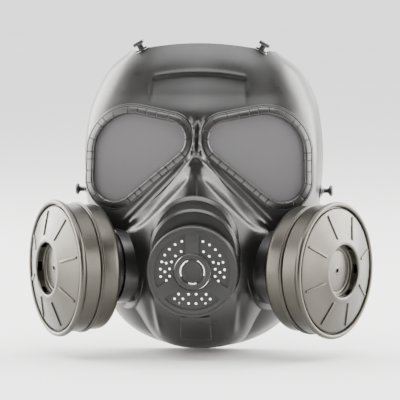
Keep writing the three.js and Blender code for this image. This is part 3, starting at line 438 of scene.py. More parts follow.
width_share = curve_through([
    [chin_station(CHIN_SWEEP), 0.80], [JAW_HEIGHT, 0.84], [-45, 0.90], [-20, 0.96], [5, 0.99],
    [35, 1], [crown(0), 0.96], [crown(0.3), 0.91], [crown(0.68), 0.80], [crown(1), 0.62],
])
depth_share = curve_through([
    [JAW_HEIGHT, 0.99], [-45, 1.01], [-10, 1.01], [20, 1.0], [45, 0.97], [crown(0), 0.90],
    [crown(0.3), 0.80], [crown(0.68), 0.68], [crown(1), 0.56],
])
edge_forward = curve_through([
    [JAW_HEIGHT, JAW_INSET], [-40, 10], [0, 1], [crown(0), 0], [crown(0.5), 6], [crown(1), 26],
])
jaw_opening = curve_through([[chin_station(CHIN_SWEEP), 6], [JAW_HEIGHT, 6], [-40, 0], [0, 0]])
squareness = curve_through([
    [chin_station(1), 2.1], [JAW_HEIGHT, 2.5], [-45, 3.6], [0, 6], [45, 6.5], [crown(0.25), 4.2],
    [crown(1), 2.5],
])
sweep_back = curve_through([
    [JAW_HEIGHT, 0], [-45, 0.1], [0, 0.24], [45, 0.26], [crown(0.25), 0.16], [crown(1), 0],
])
muzzle_rise = curve_through([
    [chin_station(1.15), 0], [-98, 0.72], [-80, 0.97], [-50, 1], [-5, 1], [10, 0.84], [26, 0.5],
    [42, 0.16], [60, 0],
])
muzzle_spread = curve_through([
    [chin_station(1.15), 0.5], [-98, 0.66], [-50, 1], [-18, 0.8], [8, 0.38], [26, 0.16], [45, 0.14],
])


def smooth(value, start, end):
    t = np.clip((value - start) / (end - start), 0, 1)
    return t * t * (3 - 2 * t)


def half_width(station):
    return SHELL_HALF_WIDTH * width_share(station)


def muzzle(x, station):
    inboard = np.maximum(0, 1 - np.abs(x) / (MUZZLE_HALF_WIDTH * muzzle_spread(station)))
    return MUZZLE_RISE * muzzle_rise(station) * (1 - (1 - inboard) ** 3)


def front_reach(station):
    upper = FACE_DEPTH * depth_share(station) - edge_forward(station)
    turn = np.clip((JAW_HEIGHT - station) / (CHIN_RADIUS * math.pi / 2), 0, 1)
    return np.where(station >= JAW_HEIGHT, upper, upper + (CHIN_RADIUS - upper) * turn)


def skin(share, station):
    """Outer skin points at shares of the half width and stations."""
    share, station = np.broadcast_arrays(np.asarray(share, float), np.asarray(station, float))
    x = half_width(station) * share
    power = squareness(station)
    swept = sweep_back(station) * (np.hypot(x, 6) - 6)
    rounded = np.maximum(0, 1 - np.abs(share) ** power) ** (1 / power)
    reach = (front_reach(station) - swept) * rounded + muzzle(x, station)
    arch = CROWN_ARCH * smooth(station, BROW_HEIGHT, CROWN_TOP) * (1 - share * share)
    angle = np.maximum(0, JAW_HEIGHT - station) / CHIN_RADIUS
    upper = station >= JAW_HEIGHT
    y = np.where(upper, -edge_forward(station) - reach, -JAW_INSET - reach * np.cos(angle))
    z = np.where(upper, station + arch, JAW_HEIGHT - reach * np.sin(angle))
    return np.stack([x, y, z], axis=-1)


def edge_share(station):
    power = squareness(station)
    opening = np.maximum(0, jaw_opening(station)) / front_reach(station)
    return (1 - opening**power) ** (1 / power)


def skin_normal(share, station):
    inside = np.clip(share, -0.998, 0.998)
    across = skin(inside + 1e-3, station) - skin(inside - 1e-3, station)
    up = skin(inside, station + 0.1) - skin(inside, station - 0.1)
    normal = np.cross(across, up)
    return normal / np.linalg.norm(normal, axis=-1, keepdims=True)


def even_shares(station, count):
    """Shares that space points evenly along one level's section."""
    samples = edge_share(station) * -np.cos(np.linspace(0, math.pi, 900))
    points = skin(samples, station)
    lengths = np.concatenate([[0], np.cumsum(np.linalg.norm(np.diff(points, axis=0), axis=1))])
    return np.interp(np.linspace(0, lengths[-1], count + 1), lengths, samples)


def gauss(value, width):
    return np.exp(-((value / width) ** 2))


CHIN_BLOCK = (23, 19, -97)


def relief(points):
    """How far the moulded detail stands proud of the plain skin, in mm, outward."""
    x, y, z = points[..., 0], points[..., 1], points[..., 2]
    side = np.abs(x)
    height = np.zeros_like(x)
    # brow: a shallow recess with a crisp upper lip and ends, fading out downward
    lip = 94 - 0.003 * x * x
    span = smooth(side, 37.2, 34.2)
    into = np.where(z < lip, np.exp(-(((lip - z) / 9) ** 2)), gauss(z - lip, 1.3))
    height -= 0.9 * span * into
    height += 0.35 * span * gauss(z - lip - 2.6, 1.6)
    height += 0.35 * gauss(side - 37.4, 1.2) * gauss(z - lip + 7, 6)
    # nose: ridges that run from its top straight down to the canisters, with hollows between them
    reach = 0.98 * np.maximum(0, 34 - z)
    ridge_run = smooth(z, -26, -14) * smooth(z, 37, 31)
    height += 1.7 * gauss(side - reach, 2.2) * ridge_run
    height += 0.6 * gauss(side - reach - 6.5, 2.2) * ridge_run * smooth(z, 30, 20)
    height -= 1.7 * gauss(side - reach + 6, 4.0) * ridge_run * smooth(z, 26, 14)
    height -= 1.2 * gauss(x, 2.4) * smooth(z, -22, -6) * smooth(z, 30, 16)
    # bridge: two folds that pinch together between the rims
    fold = 1.9 + 0.016 * (z - 48) ** 2
    fold_run = smooth(z, 32, 38) * smooth(z, 65, 58)
    height += 1.3 * gauss(side - fold, 1.1) * fold_run
    height -= 1.5 * gauss(x, 1.2) * fold_run
    height += 1.1 * gauss(np.hypot(x, z - 48.5), 1.6)
    height += 1.2 * gauss(np.hypot(x, (z - 34) * 0.8), 2.4)
    # cheeks: a soft fold beside the chin
    slant = 30 + 0.12 * (z + 84)
    fold_run = smooth(z, -108, -96) * smooth(z, -66, -78)
    height += 0.8 * gauss(side - slant, 2.2) * fold_run
    height -= 0.9 * gauss(side - slant - 5, 3.0) * fold_run
    # chin block
    wide, tall, level = CHIN_BLOCK
    across = smooth(side, wide / 2 + 0.4, wide / 2 - 0.5)
    block = across * smooth(np.abs(z - level), tall / 2 + 0.4, tall / 2 - 0.5)
    return np.maximum(height, -1.6) * smooth(-y, 20, 40) + 1.6 * block


SKIN_COLUMNS = 380
SKIN_ROWS = 320


def skin_layers():
    stations = np.linspace(CROWN_TOP, chin_station(CHIN_SWEEP), SKIN_ROWS + 1)
    shares = np.array([even_shares(s, SKIN_COLUMNS) for s in stations])
    levels = np.repeat(stations[:, None], SKIN_COLUMNS + 1, axis=1)
    plain = skin(shares, levels)
    normals = skin_normal(shares, levels)
    front = plain + normals * relief(plain)[..., None]
    back = plain - normals * SHELL_WALL
    shell_low, shell_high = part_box("facepiece_shell")
    for layer in (front, back):
        layer[..., 2] = np.maximum(layer[..., 2], shell_low[2] / MM)
        layer[..., 1] = np.minimum(layer[..., 1], shell_high[1] / MM)
    return front, back


def sheet_between(front, back):
    rows, columns = front.shape[:2]
    points = np.concatenate([front.reshape(-1, 3), back.reshape(-1, 3)])

    def at(layer, row, column):
        return (layer * rows + row) * columns + column

    faces = []
    for r in range(rows - 1):
        for c in range(columns - 1):
            faces.append((at(0, r, c), at(0, r + 1, c), at(0, r + 1, c + 1), at(0, r, c + 1)))
            faces.append((at(1, r, c), at(1, r, c + 1), at(1, r + 1, c + 1), at(1, r + 1, c)))
        faces.append((at(0, r, 0), at(1, r, 0), at(1, r + 1, 0), at(0, r + 1, 0)))
        last = columns - 1
        faces.append((at(0, r + 1, last), at(1, r + 1, last), at(1, r, last), at(0, r, last)))
    for c in range(columns - 1):
        faces.append((at(0, 0, c + 1), at(1, 0, c + 1), at(1, 0, c), at(0, 0, c)))
        end = rows - 1
        faces.append((at(0, end, c), at(1, end, c), at(1, end, c + 1), at(0, end, c + 1)))
    return points, faces


# ---------------------------------------------------------------- frames of the assemblies

record_joints = {joint["name"]: joint for joint in frame["record"]["behaviour"]["joints"]}
record_mounts = {mount["name"]: mount for mount in frame["record"]["mounts"]}


def frame_matrix(x_axis, y_axis, z_axis, origin):
    matrix = Matrix((x_axis, y_axis, z_axis)).transposed().to_4x4()
    matrix.translation = origin
    return matrix


def facing_front(origin):
    """+Z out of the face, along -Y, and +Y up."""
    return frame_matrix(Vector((1, 0, 0)), Vector((0, 0, 1)), Vector((0, -1, 0)), origin)


def inlet_matrix(side):
    """+Z out along the canister's axis, +Y up, origin on the cheek."""
    joint = record_joints[f"{side}_canister_screw"]
    axis = Vector(joint["axis"]).normalized()
    across = Vector((-axis.y, axis.x, 0))
    return frame_matrix(across, Vector((0, 0, 1)), axis, Vector(joint["pos_m"]) / MM)


GRILLE_TOP = 9.4  # front face of the grille, ahead of the muzzle's foremost step
speech_matrix = facing_front(
    Vector((0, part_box("grille_disc")[0].y / MM + GRILLE_TOP, middle("grille_disc").z))
)

BRIDGE_HALF_WIDTH = 9
TEMPLE_MARGIN = 10.8
EYE_CENTRE_HEIGHT = 31
EYE_WRAP = math.radians(14.7)
EYE_SLANT = math.radians(5)
EYE_SINK = 3
eye_centre_x = (BRIDGE_HALF_WIDTH + half_width(EYE_CENTRE_HEIGHT) - TEMPLE_MARGIN) / 2
lens_half_span = (eye_centre_x - BRIDGE_HALF_WIDTH) / math.cos(EYE_WRAP)
LENS_DISCS = (
    (-lens_half_span + 13.75, 15, 13.75),
    (lens_half_span - 17.1, -16.1, 17.1),
    (lens_half_span - 30, 3.8, 30),
)


def eye_matrix(sign):
    """+Z out of the face, +Y up, origin at the middle of the lens front plane."""
    surface = skin(eye_centre_x / half_width(EYE_CENTRE_HEIGHT), EYE_CENTRE_HEIGHT)
    place = Matrix.Translation((eye_centre_x, surface[1] + EYE_SINK, EYE_CENTRE_HEIGHT))
    turn = Matrix.Rotation(EYE_WRAP, 4, "Z") @ Matrix.Rotation(math.pi / 2 - EYE_SLANT, 4, "X")
    return Matrix.Diagonal((sign, 1, 1, 1)) @ place @ turn


def tangent_angle(start, end):
    along = math.atan2(end[1] - start[1], end[0] - start[0])
    return along - math.acos((start[2] - end[2]) / math.hypot(end[0] - start[0], end[1] - start[1]))


def lens_path():
    """Dense points and outward normals round the lens outline, with the distance run."""
    points, normals = [], []
    for i, disc in enumerate(LENS_DISCS):
        following = LENS_DISCS[(i + 1) % 3]
        start = tangent_angle(LENS_DISCS[i - 1], disc)
        end = tangent_angle(disc, following)
        end += 2 * math.pi * (end < start)
        for angle in np.linspace(start, end, 60):
            normals.append((math.cos(angle), math.sin(angle)))
            points.append((disc[0] + disc[2] * math.cos(angle), disc[1] + disc[2] * math.sin(angle)))
    points.append(points[0])
    normals.append(normals[0])
    points, normals = np.array(points), np.array(normals)
    run = np.concatenate([[0], np.cumsum(np.linalg.norm(np.diff(points, axis=0), axis=1))])
    return points, normals, run


path_points, path_normals, path_run = lens_path()


def lens_loop(margin, places):
    """Outline points at distances round the lens edge, grown outward by a margin."""
    base = np.stack([np.interp(places, path_run, path_points[:, k]) for k in (0, 1)], axis=1)
    out = np.stack([np.interp(places, path_run, path_normals[:, k]) for k in (0, 1)], axis=1)
    return base + margin * out / np.linalg.norm(out, axis=1, keepdims=True)


def even_places(step=0.9):
    return np.arange(0, path_run[-1] - step / 2, step)


def band_data(profile, places, rise=None):
    """Sweeps a closed (margin, height) outline round the lens; rise adds to each height by place."""
    count, loops = len(profile), len(places)
    points = []
    rings = [lens_loop(margin, places) for margin, _ in profile]
    for i in range(loops):
        for k, (margin, level) in enumerate(profile):
            lift = rise[i] * (level > 2.2) * (0.9 < margin < 5.56) if rise is not None else 0
            points.append((*rings[k][i], level + lift))
    return points, closed_rings(loops, count)


def lens_plate(margin, bottom, top):
    return prism_data([tuple(p) for p in lens_loop(margin, even_places())], bottom, top)


# ---------------------------------------------------------------- eyepieces

RIM_WIDTH = 6.8
RIM_BOTTOM = 0.3
RIM_TOP = 3.7
FRAME_OUTER = 8.2
GASKET_BOTTOM = -3.9
RIM_SCORES = 27
SCORE_HALF_WIDTH = 0.34
SCORE_DEPTH = 0.7


def rim_places():
    """Places round the rim with extra ones at each score line, and how deep each place is scored."""
    spaced = (np.arange(RIM_SCORES) + 0.5) / RIM_SCORES
    turn = 2 * math.pi * spaced
    uneven = spaced + 0.007 * np.sin(7.3 * turn) + 0.004 * np.sin(17 * turn)
    scores = (uneven % 1) * path_run[-1]
    places = [(place, 0.0) for place in even_places(1.1)
              if np.min(np.abs(place - scores)) > 2 * SCORE_HALF_WIDTH]
    for score in scores:
        for share, depth in ((-1, 0), (-0.45, 1), (0.45, 1), (1, 0)):
            places.append(((score + share * SCORE_HALF_WIDTH) % path_run[-1], -SCORE_DEPTH * depth))
    places.sort()
    return np.array(places).T


def lens_rim_data():
    places, rise = rim_places()
    profile = [
        (0.0, RIM_BOTTOM), (RIM_WIDTH, RIM_BOTTOM), (RIM_WIDTH, 1.6), (6.65, 1.95), (6.25, 2.15),
        (5.9, 2.0),
        (5.8, 1.6), (5.6, 1.6), (5.5, 2.3), (5.2, 2.55), (3.4, 3.15), (1.4, RIM_TOP), (0.95, 3.6),
        (0.3, 3.0), (0.0, 2.0),
    ]
    return band_data(profile, places, rise)


def make_eyepieces():
    for side, sign in SIDES:
        at = eye_matrix(sign)
        points, faces = lens_rim_data()
        stands_for(make_object(f"{side}_rim", moved(points, at), faces, 40), f"{side}_lens_rim")
        points, faces = lens_plate(1.6, -2.4, 0.0)
        stands_for(make_object(f"{side}_eyepiece", moved(points, at), faces), f"{side}_lens")
        lip = [(-0.8, GASKET_BOTTOM), (1.6, GASKET_BOTTOM), (1.6, -3.1), (1.3, -2.75), (0.9, -2.95),
               (0.5, -2.75), (-0.1, -2.75), (-0.8, -3.2)]
        points, faces = band_data(lip, even_places())
        stands_for(make_object(f"{side}_eye_seal", moved(points, at), faces), f"{side}_lens_gasket")


# ---------------------------------------------------------------- speech and exhalation assembly

GRILLE_RADIUS = 34.8
HOUSING_TOP = 5.5
GRILLE_BOTTOM = 5.8
FIELD_FLOOR = 8.2
HUB_RADIUS = 13.8
HUB_TOP = 10.6
HUB_DISC_BOTTOM = 5.6
GRILLE_SPOKES = (90, 214, 326)
SPOKE_HALF_WIDTH = 5
FIELD_OUTER = 29.2
FIELD_INNER = 14.2
SIDE_HOLE_ROWS = ((24.5, 109, 189, 7), (21, 162, 199, 3), (17.6, 119, 191, 5))
LOWER_HOLE_ROWS = ((-17.1, (2.9, 10.5)), (-20.7, (7.2, 13.6)), (-24.2, (2.8, 10.1)))


def hole_places():
    places = []
    for radius, start, end, count in SIDE_HOLE_ROWS:
        for degrees in np.linspace(start, end, count):
            x, y = radius * math.cos(math.radians(degrees)), radius * math.sin(math.radians(degrees))
            places += [(x, y), (-x, y)]
    for height, offsets in LOWER_HOLE_ROWS:
        for offset in offsets:
            places += [(offset, height), (-offset, height)]
    return places


def several(parts):
    """One set of points and faces from several that don't touch."""
    points, faces = [], []
    for some_points, some_faces in parts:
        start = len(points)
        points += [tuple(p) for p in some_points]
        faces += [tuple(i + start for i in face) for face in some_faces]
    return points, faces


def sector_outline(start, end):
    outer = math.asin(SPOKE_HALF_WIDTH / FIELD_OUTER)
    inner = math.asin(SPOKE_HALF_WIDTH / FIELD_INNER)
    first = [(FIELD_OUTER * math.cos(a), FIELD_OUTER * math.sin(a))
             for a in np.linspace(start + outer, end - outer, 70)]
    second = [(FIELD_INNER * math.cos(a), FIELD_INNER * math.sin(a))
              for a in np.linspace(end - inner, start + inner, 50)]
    return first + second


def make_grille():
    points, faces = lathe_data([
        (HUB_RADIUS + 0.3, GRILLE_BOTTOM), (GRILLE_RADIUS, GRILLE_BOTTOM),
        (GRILLE_RADIUS, GRILLE_TOP - 0.9),
        (GRILLE_RADIUS - 0.9, GRILLE_TOP), (FIELD_OUTER + 3.6, GRILLE_TOP),
        (FIELD_OUTER + 3.4, GRILLE_TOP - 0.3),
        (FIELD_OUTER + 3.1, GRILLE_TOP - 0.3), (FIELD_OUTER + 2.9, GRILLE_TOP),
        (HUB_RADIUS + 0.3, GRILLE_TOP),
    ], 192, 0.15)
    grille = make_object("grille", points, faces)
    angles = [math.radians(d) for d in (*GRILLE_SPOKES, GRILLE_SPOKES[0] + 360)]
    outlines = [sector_outline(angles[i], angles[i + 1]) for i in range(3)]
    sectors = several([prism_data(outline, FIELD_FLOOR, GRILLE_TOP + 2) for outline in outlines])
    drill = [(0, GRILLE_BOTTOM - 1), (0.95, GRILLE_BOTTOM - 1), (0.95, FIELD_FLOOR - 0.35),
             (1.15, FIELD_FLOOR + 0.05), (1.15, FIELD_FLOOR + 1), (0, FIELD_FLOOR + 1)]
    holes = []
    for x, y in hole_places():
        points, faces = disc_data(drill, 28, 0.02)
        holes.append(([(px + x, py + y, pz) for px, py, pz in points], faces))
    combine(grille, [(*sectors, IDENTITY), (*several(holes), IDENTITY)], "DIFFERENCE")
    grille.data.transform(scaled(speech_matrix))
    stands_for(grille, "grille_disc")


def scaled(matrix):
    """The same matrix for mesh data that is already in metres."""
    made = matrix.copy()
    made.translation = matrix.translation * MM
    return made


def make_hub():
    points, faces = lathe_data([
        (12.4, 4.2), (HUB_RADIUS, 4.2), (HUB_RADIUS, HUB_TOP - 0.9), (HUB_RADIUS - 0.9, HUB_TOP),
        (10.9, HUB_TOP),
        (9.7, HUB_TOP - 1.2), (9.7, HUB_DISC_BOTTOM), (12.4, HUB_DISC_BOTTOM),
    ], 128, 0.2)
    hub = make_object("hub", points, faces)
    centre = disc_data([
        (0, HUB_DISC_BOTTOM), (8.6, HUB_DISC_BOTTOM), (8.6, HUB_DISC_BOTTOM + 2.2),
        (6.9, HUB_DISC_BOTTOM + 2.2),
        (6.6, HUB_DISC_BOTTOM + 1.9), (0, HUB_DISC_BOTTOM + 1.9),
    ], 128, 0.25)
    joins = [(*centre, IDENTITY)]
    for degrees in (90, 229, 311):
        web = box_data(4, 6.8, 2.2, 9.2, 0, HUB_DISC_BOTTOM + 1.1, 0.15)
        joins.append((*web, turn_z(degrees)))
    combine(hub, joins, "UNION")
    hub.data.transform(scaled(speech_matrix))
    stands_for(hub, "hub_cover")


def webbed_seat(name, node, outer, inner, boss, bottom, top, turn, matrix):
    points, faces = lathe_data([(inner, bottom), (outer, bottom), (outer, top), (inner, top)], 96, 0.2)
    seat = make_object(name, points, faces)
    joins = [(*rod_data(boss, bottom, top, 48, 0.2), IDENTITY)]
    for i in range(3):
        web = box_data(inner, 1.6, top - bottom - 0.1, inner / 2 + 0.5, 0, (bottom + top) / 2, 0.15)
        joins.append((*web, turn_z(turn + 120 * i)))
    combine(seat, joins, "UNION")
    seat.data.transform(scaled(matrix))
    stands_for(seat, node)


def turned_piece(name, node, profile, matrix, segments=128, radius=0.3, solid=False):
    points, faces = (disc_data if solid else lathe_data)(profile, segments, radius)
    return stands_for(make_object(name, moved(points, matrix), faces), node)


def make_speech_unit():
    make_grille()
    make_hub()
    turned_piece("speech_carrier", "speech_housing", [
        (27, 0.3), (GRILLE_RADIUS, 0.3), (GRILLE_RADIUS, 2.6), (GRILLE_RADIUS - 0.35, 2.8),
        (GRILLE_RADIUS - 0.35, 3.1), (GRILLE_RADIUS, 3.3), (GRILLE_RADIUS, HOUSING_TOP),
        (29.2, HOUSING_TOP),
        (29.2, 1.9), (27, 1.9),
    ], speech_matrix, 192, 0.2)
    ripple = [(HUB_RADIUS + 0.3 + 0.6 * k, 2.2 + 0.1 * (k % 2)) for k in range(25)]
    film = ripple + [(28.6, 2.2), (28.6, 2.7)] + [(r, z + 0.4) for r, z in ripple[::-1]]
    turned_piece("speech_film", "speech_diaphragm", film, speech_matrix, 128, 0)
    turned_piece("film_clamp", "diaphragm_ring", [
        (27.4, 3.0), (28.9, 3.0), (28.9, 5.5), (28.4, 5.5), (28.2, 5.1), (27.9, 5.1), (27.7, 5.5),
        (27.4, 5.5),
    ], speech_matrix, 128, 0.12)
    webbed_seat("exhale_seat", "exhalation_valve_seat", 13.8, 10.4, 2.5, -0.5, 1.9, 90, speech_matrix)
    turned_piece("exhale_flap", "exhalation_flap", [
        (0, 2.2), (11.6, 2.2), (11.6, 2.7), (10.9, 3.0), (10.2, 2.6), (2.6, 2.6), (2.0, 3.0), (0, 3.0),
    ], speech_matrix, 128, 0.1, solid=True)


# ---------------------------------------------------------------- inlets and canisters

NECK_TIP = -2.7
SHOULDER = 11.6
DRUM_BACK = 15.0
SEAM = 33.0
RIM_PLANE = 51.0
INTAKE_FLOOR = 51.5
INTAKE_RIM = 58.0
FRONT_RADIUS = 49.0
REAR_RADIUS = 48.0
LIP_RADIUS = 52.5
THREAD_PITCH = 25.4 / 7


def thread_data(bottom, turns, base, crest, steps_per_turn=72):
    half = THREAD_PITCH * 0.36
    section = [(base - 0.5, -half), (crest - 0.2, -half * 0.4), (crest, -half * 0.2), (crest, half * 0.2),
               (crest - 0.2, half * 0.4), (base - 0.5, half)]
    steps, count = round(turns * steps_per_turn), len(section)
    points, faces = [], []
    for i in range(steps + 1):
        angle = 2 * math.pi * i / steps_per_turn
        for radius, offset in section:
            rise = bottom + half + THREAD_PITCH * i / steps_per_turn + offset
            points.append((radius * math.cos(angle), radius * math.sin(angle), rise))
    for i in range(steps):
        for k in range(count):
            m = (k + 1) % count
            faces.append((i * count + k, i * count + m, (i + 1) * count + m, (i + 1) * count + k))
    faces.append(tuple(range(count))[::-1])
    faces.append(tuple(range(steps * count, (steps + 1) * count)))
    return points, faces


def make_rear_housing(side, at):
    points, faces = lathe_data([
        (15.5, NECK_TIP), (18.4, NECK_TIP), (18.4, SHOULDER), (26, SHOULDER), (26, DRUM_BACK),
        (43.6, DRUM_BACK),
        (45.6, DRUM_BACK + 0.5), (47.0, DRUM_BACK + 1.7), (47.8, DRUM_BACK + 3.2),
        (REAR_RADIUS, DRUM_BACK + 5),
        (REAR_RADIUS, SEAM - 0.3), (REAR_RADIUS - 1.8, SEAM - 0.3), (REAR_RADIUS - 1.8, DRUM_BACK + 5),
        (43.2, DRUM_BACK + 2), (15.5, DRUM_BACK + 2),
    ], 192, 0.3)
    housing = make_object(f"{side}_rear_drum", points, faces)
    combine(housing, [(*thread_data(NECK_TIP + 0.6, 2, 18.4, 19.9), IDENTITY)], "UNION")
    housing.data.transform(scaled(at))
    stands_for(housing, f"{side}_canister_rear_housing")


def make_front_cover(side, at):
    points, faces = lathe_data([
        (1.5, INTAKE_FLOOR - 1.6), (21.6, INTAKE_FLOOR - 1.6), (21.6, INTAKE_RIM - 2.0),
        (46.6, RIM_PLANE - 2.9),
        (48.7, RIM_PLANE - 3.3), (48.7, RIM_PLANE - 2.5), (47.9, RIM_PLANE - 2.4),
        (47.4, RIM_PLANE - 1.0),
        (46.4, RIM_PLANE - 0.45), (25.0, INTAKE_RIM - 0.85), (22.6, INTAKE_RIM - 0.05),
        (20.9, INTAKE_RIM),
        (20.2, INTAKE_RIM - 0.5), (19.9, INTAKE_RIM - 1.4), (19.8, INTAKE_FLOOR + 0.9),
        (19.3, INTAKE_FLOOR),
        (16.4, INTAKE_FLOOR), (16.1, INTAKE_FLOOR - 0.35), (15.7, INTAKE_FLOOR - 0.35),
        (15.4, INTAKE_FLOOR),
        (3.2, INTAKE_FLOOR), (2.2, INTAKE_FLOOR + 0.35), (1.5, INTAKE_FLOOR),
    ], 192, 0.25)
    cover = make_object(f"{side}_cover", points, faces)
    run, fall = 46.6 - 22.6, INTAKE_RIM - RIM_PLANE + 0.4
    slope = math.atan2(fall, run)
    middle_radius = (26 + 45) / 2
    face_there = INTAKE_RIM - (middle_radius - 22.6) * math.tan(slope)
    joins = []
    for i in range(8):
        rib = box_data(19 / math.cos(slope), 2.0, 1.8, edge=0.5)
        place = turn_z(16 + 45 * i) @ Matrix.Translation((middle_radius, 0, face_there))
        joins.append((*rib, place @ Matrix.Rotation(slope, 4, "Y")))
    combine(cover, joins, "UNION")
    cuts = [
        (*box_data(6, 7, 3.5, 21, 0, INTAKE_FLOOR + 3.25, 0.4), turn_z(60 * i)) for i in range(6)
    ]
    combine(cover, cuts, "DIFFERENCE")
    cover.data.transform(scaled(at))
    stands_for(cover, f"{side}_canister_front_cover")


def make_locknut(side, at):
    points, faces = lathe_data([(23.5, -14.5), (27.5, -14.5), (27.5, -11.3), (23.5, -11.3)], 128, 0.4)
    nut = make_object(f"{side}_nut", points, faces)
    lugs = [(*box_data(6, 8, 3.2, 27.5, 0, -12.9, 0.5), turn_z(90 * i)) for i in range(4)]
    combine(nut, lugs, "UNION")
    bore = rod_data(23.5, -30, 10, 128)
    combine(nut, [(*bore, IDENTITY)], "DIFFERENCE")
    nut.data.transform(scaled(at))
    stands_for(nut, f"{side}_inlet_locknut")


def make_canister(side):
    at = inlet_matrix(side)
    make_rear_housing(side, at)
    make_front_cover(side, at)
    make_locknut(side, at)
    turned_piece(f"{side}_seam_bead", f"{side}_canister_seam_band", [
        (48.3, SEAM - 3.4), (49.4, SEAM - 3.4), (50, SEAM - 2.9), (50, SEAM - 2.4),
        (49.45, SEAM - 2.05),
        (49.45, SEAM - 1.65), (50, SEAM - 1.3), (50, SEAM - 0.8), (49.4, SEAM - 0.3),
        (48.3, SEAM - 0.3),
    ], at, 192, 0.2)
    turned_piece(f"{side}_front_drum", f"{side}_canister_front_housing", [
        (47.2, SEAM), (48.6, SEAM), (FRONT_RADIUS, SEAM + 0.5), (FRONT_RADIUS, RIM_PLANE - 6.4),
        (49.6, RIM_PLANE - 5.6), (51.2, RIM_PLANE - 4.9), (52.1, RIM_PLANE - 4.0),
        (LIP_RADIUS, RIM_PLANE - 2.8),
        (LIP_RADIUS, RIM_PLANE - 1.6), (52.1, RIM_PLANE - 0.6), (51.2, RIM_PLANE), (50.0, RIM_PLANE),
        (49.2, RIM_PLANE - 0.6), (49.0, RIM_PLANE - 1.6), (49.0, RIM_PLANE - 3.6),
        (47.2, RIM_PLANE - 3.6),
    ], at, 192, 0.3)
    turned_piece(f"{side}_socket", f"{side}_inlet_socket", [
        (20.6, -15.5), (23.2, -15.5), (23.2, 4.3), (27, 4.3), (27, 8.3), (20.6, 8.3),
    ], at, 128, 0.4)
    turned_piece(f"{side}_neck_gasket", f"{side}_canister_gasket", [
        (20.2, 8.6), (25, 8.6), (25, 9.5), (24.6, 9.95), (25, 10.4), (25, 11.3), (20.2, 11.3),
    ], at, 128, 0.3)
    seat = f"{side}_inhalation_valve_seat"
    webbed_seat(f"{side}_inhale_seat", seat, 20.3, 13, 2.5, -15.3, -13.1, 0, at)
    turned_piece(f"{side}_inhale_flap", f"{side}_inhalation_flap", [
        (0, -16.4), (2.0, -16.4), (2.6, -16.0), (13.4, -16.0), (14.2, -16.4), (15, -16.1),
        (15, -15.6), (0, -15.6),
    ], at, 128, 0.1, solid=True)


# ---------------------------------------------------------------- studs

SIDE_STUD_LENGTH = 9.6
TOP_STUD_LENGTH = 7.6


def make_side_stud(side, sign):
    at = side_stud_matrix(side, sign)
    turned_piece(f"{side}_strap_stud", f"{side}_side_stud", [
        (0, -3.6), (1.7, -3.6), (1.7, 0.3), (4.3, 0.3), (4.1, 0.9), (2.6, 1.7), (1.9, 2.7),
        (1.9, 5.6), (2.6, 6.5),
        (4.0, 6.8), (4.3, 7.4), (4.3, 8.5), (3.9, 9.3), (3.0, SIDE_STUD_LENGTH), (0, SIDE_STUD_LENGTH),
    ], at, 64, 0.35, solid=True)


def make_top_stud(side):
    points, faces = box_data(4.4, 4, 6.2, 0, 0, 4.3, 0.35)
    stud = make_object(f"{side}_brow_stud", points, faces)
    parts = [
        rod_data(1.7, -2.6, 1.3, 40, 0.2),
        box_data(8.6, 5, 1.4, 0, 0, 1.0, 0.3),
        box_data(8.6, 8.6, 2.6, 0, 0, 6.3, 0.55),
    ]
    combine(stud, [(*part, IDENTITY) for part in parts], "UNION")
    stud.data.transform(scaled(top_stud_matrix(side)))
    stands_for(stud, f"{side}_top_stud")


def top_stud_matrix(side):
    mount = record_mounts[f"{side}_top_strap_stud"]
    axis = Vector(mount["axis"]).normalized()
    y_axis = Vector((0, 1, 0))
    origin = Vector(mount["pos_m"]) / MM - axis * TOP_STUD_LENGTH
    return frame_matrix(y_axis.cross(axis), y_axis, axis, origin)


def side_stud_matrix(side, sign):
    mount = record_mounts[f"{side}_side_strap_stud"]
    axis = Vector(mount["axis"])
    origin = Vector(mount["pos_m"]) / MM - axis * SIDE_STUD_LENGTH
    return frame_matrix(Vector((0, 0, -sign)), Vector((0, 1, 0)), axis, origin)


# ---------------------------------------------------------------- shell

HOOD_RADIUS = 33.4
MUZZLE_WALL = 3.4
BOSS_RADIUS = 29
BOSS_PROUD = 4
BOSS_BOTTOM = -11
POCKET_RADIUS = 31.5  # round the locknut, behind the boss
POCKET_WALL_RADIUS = 33.5


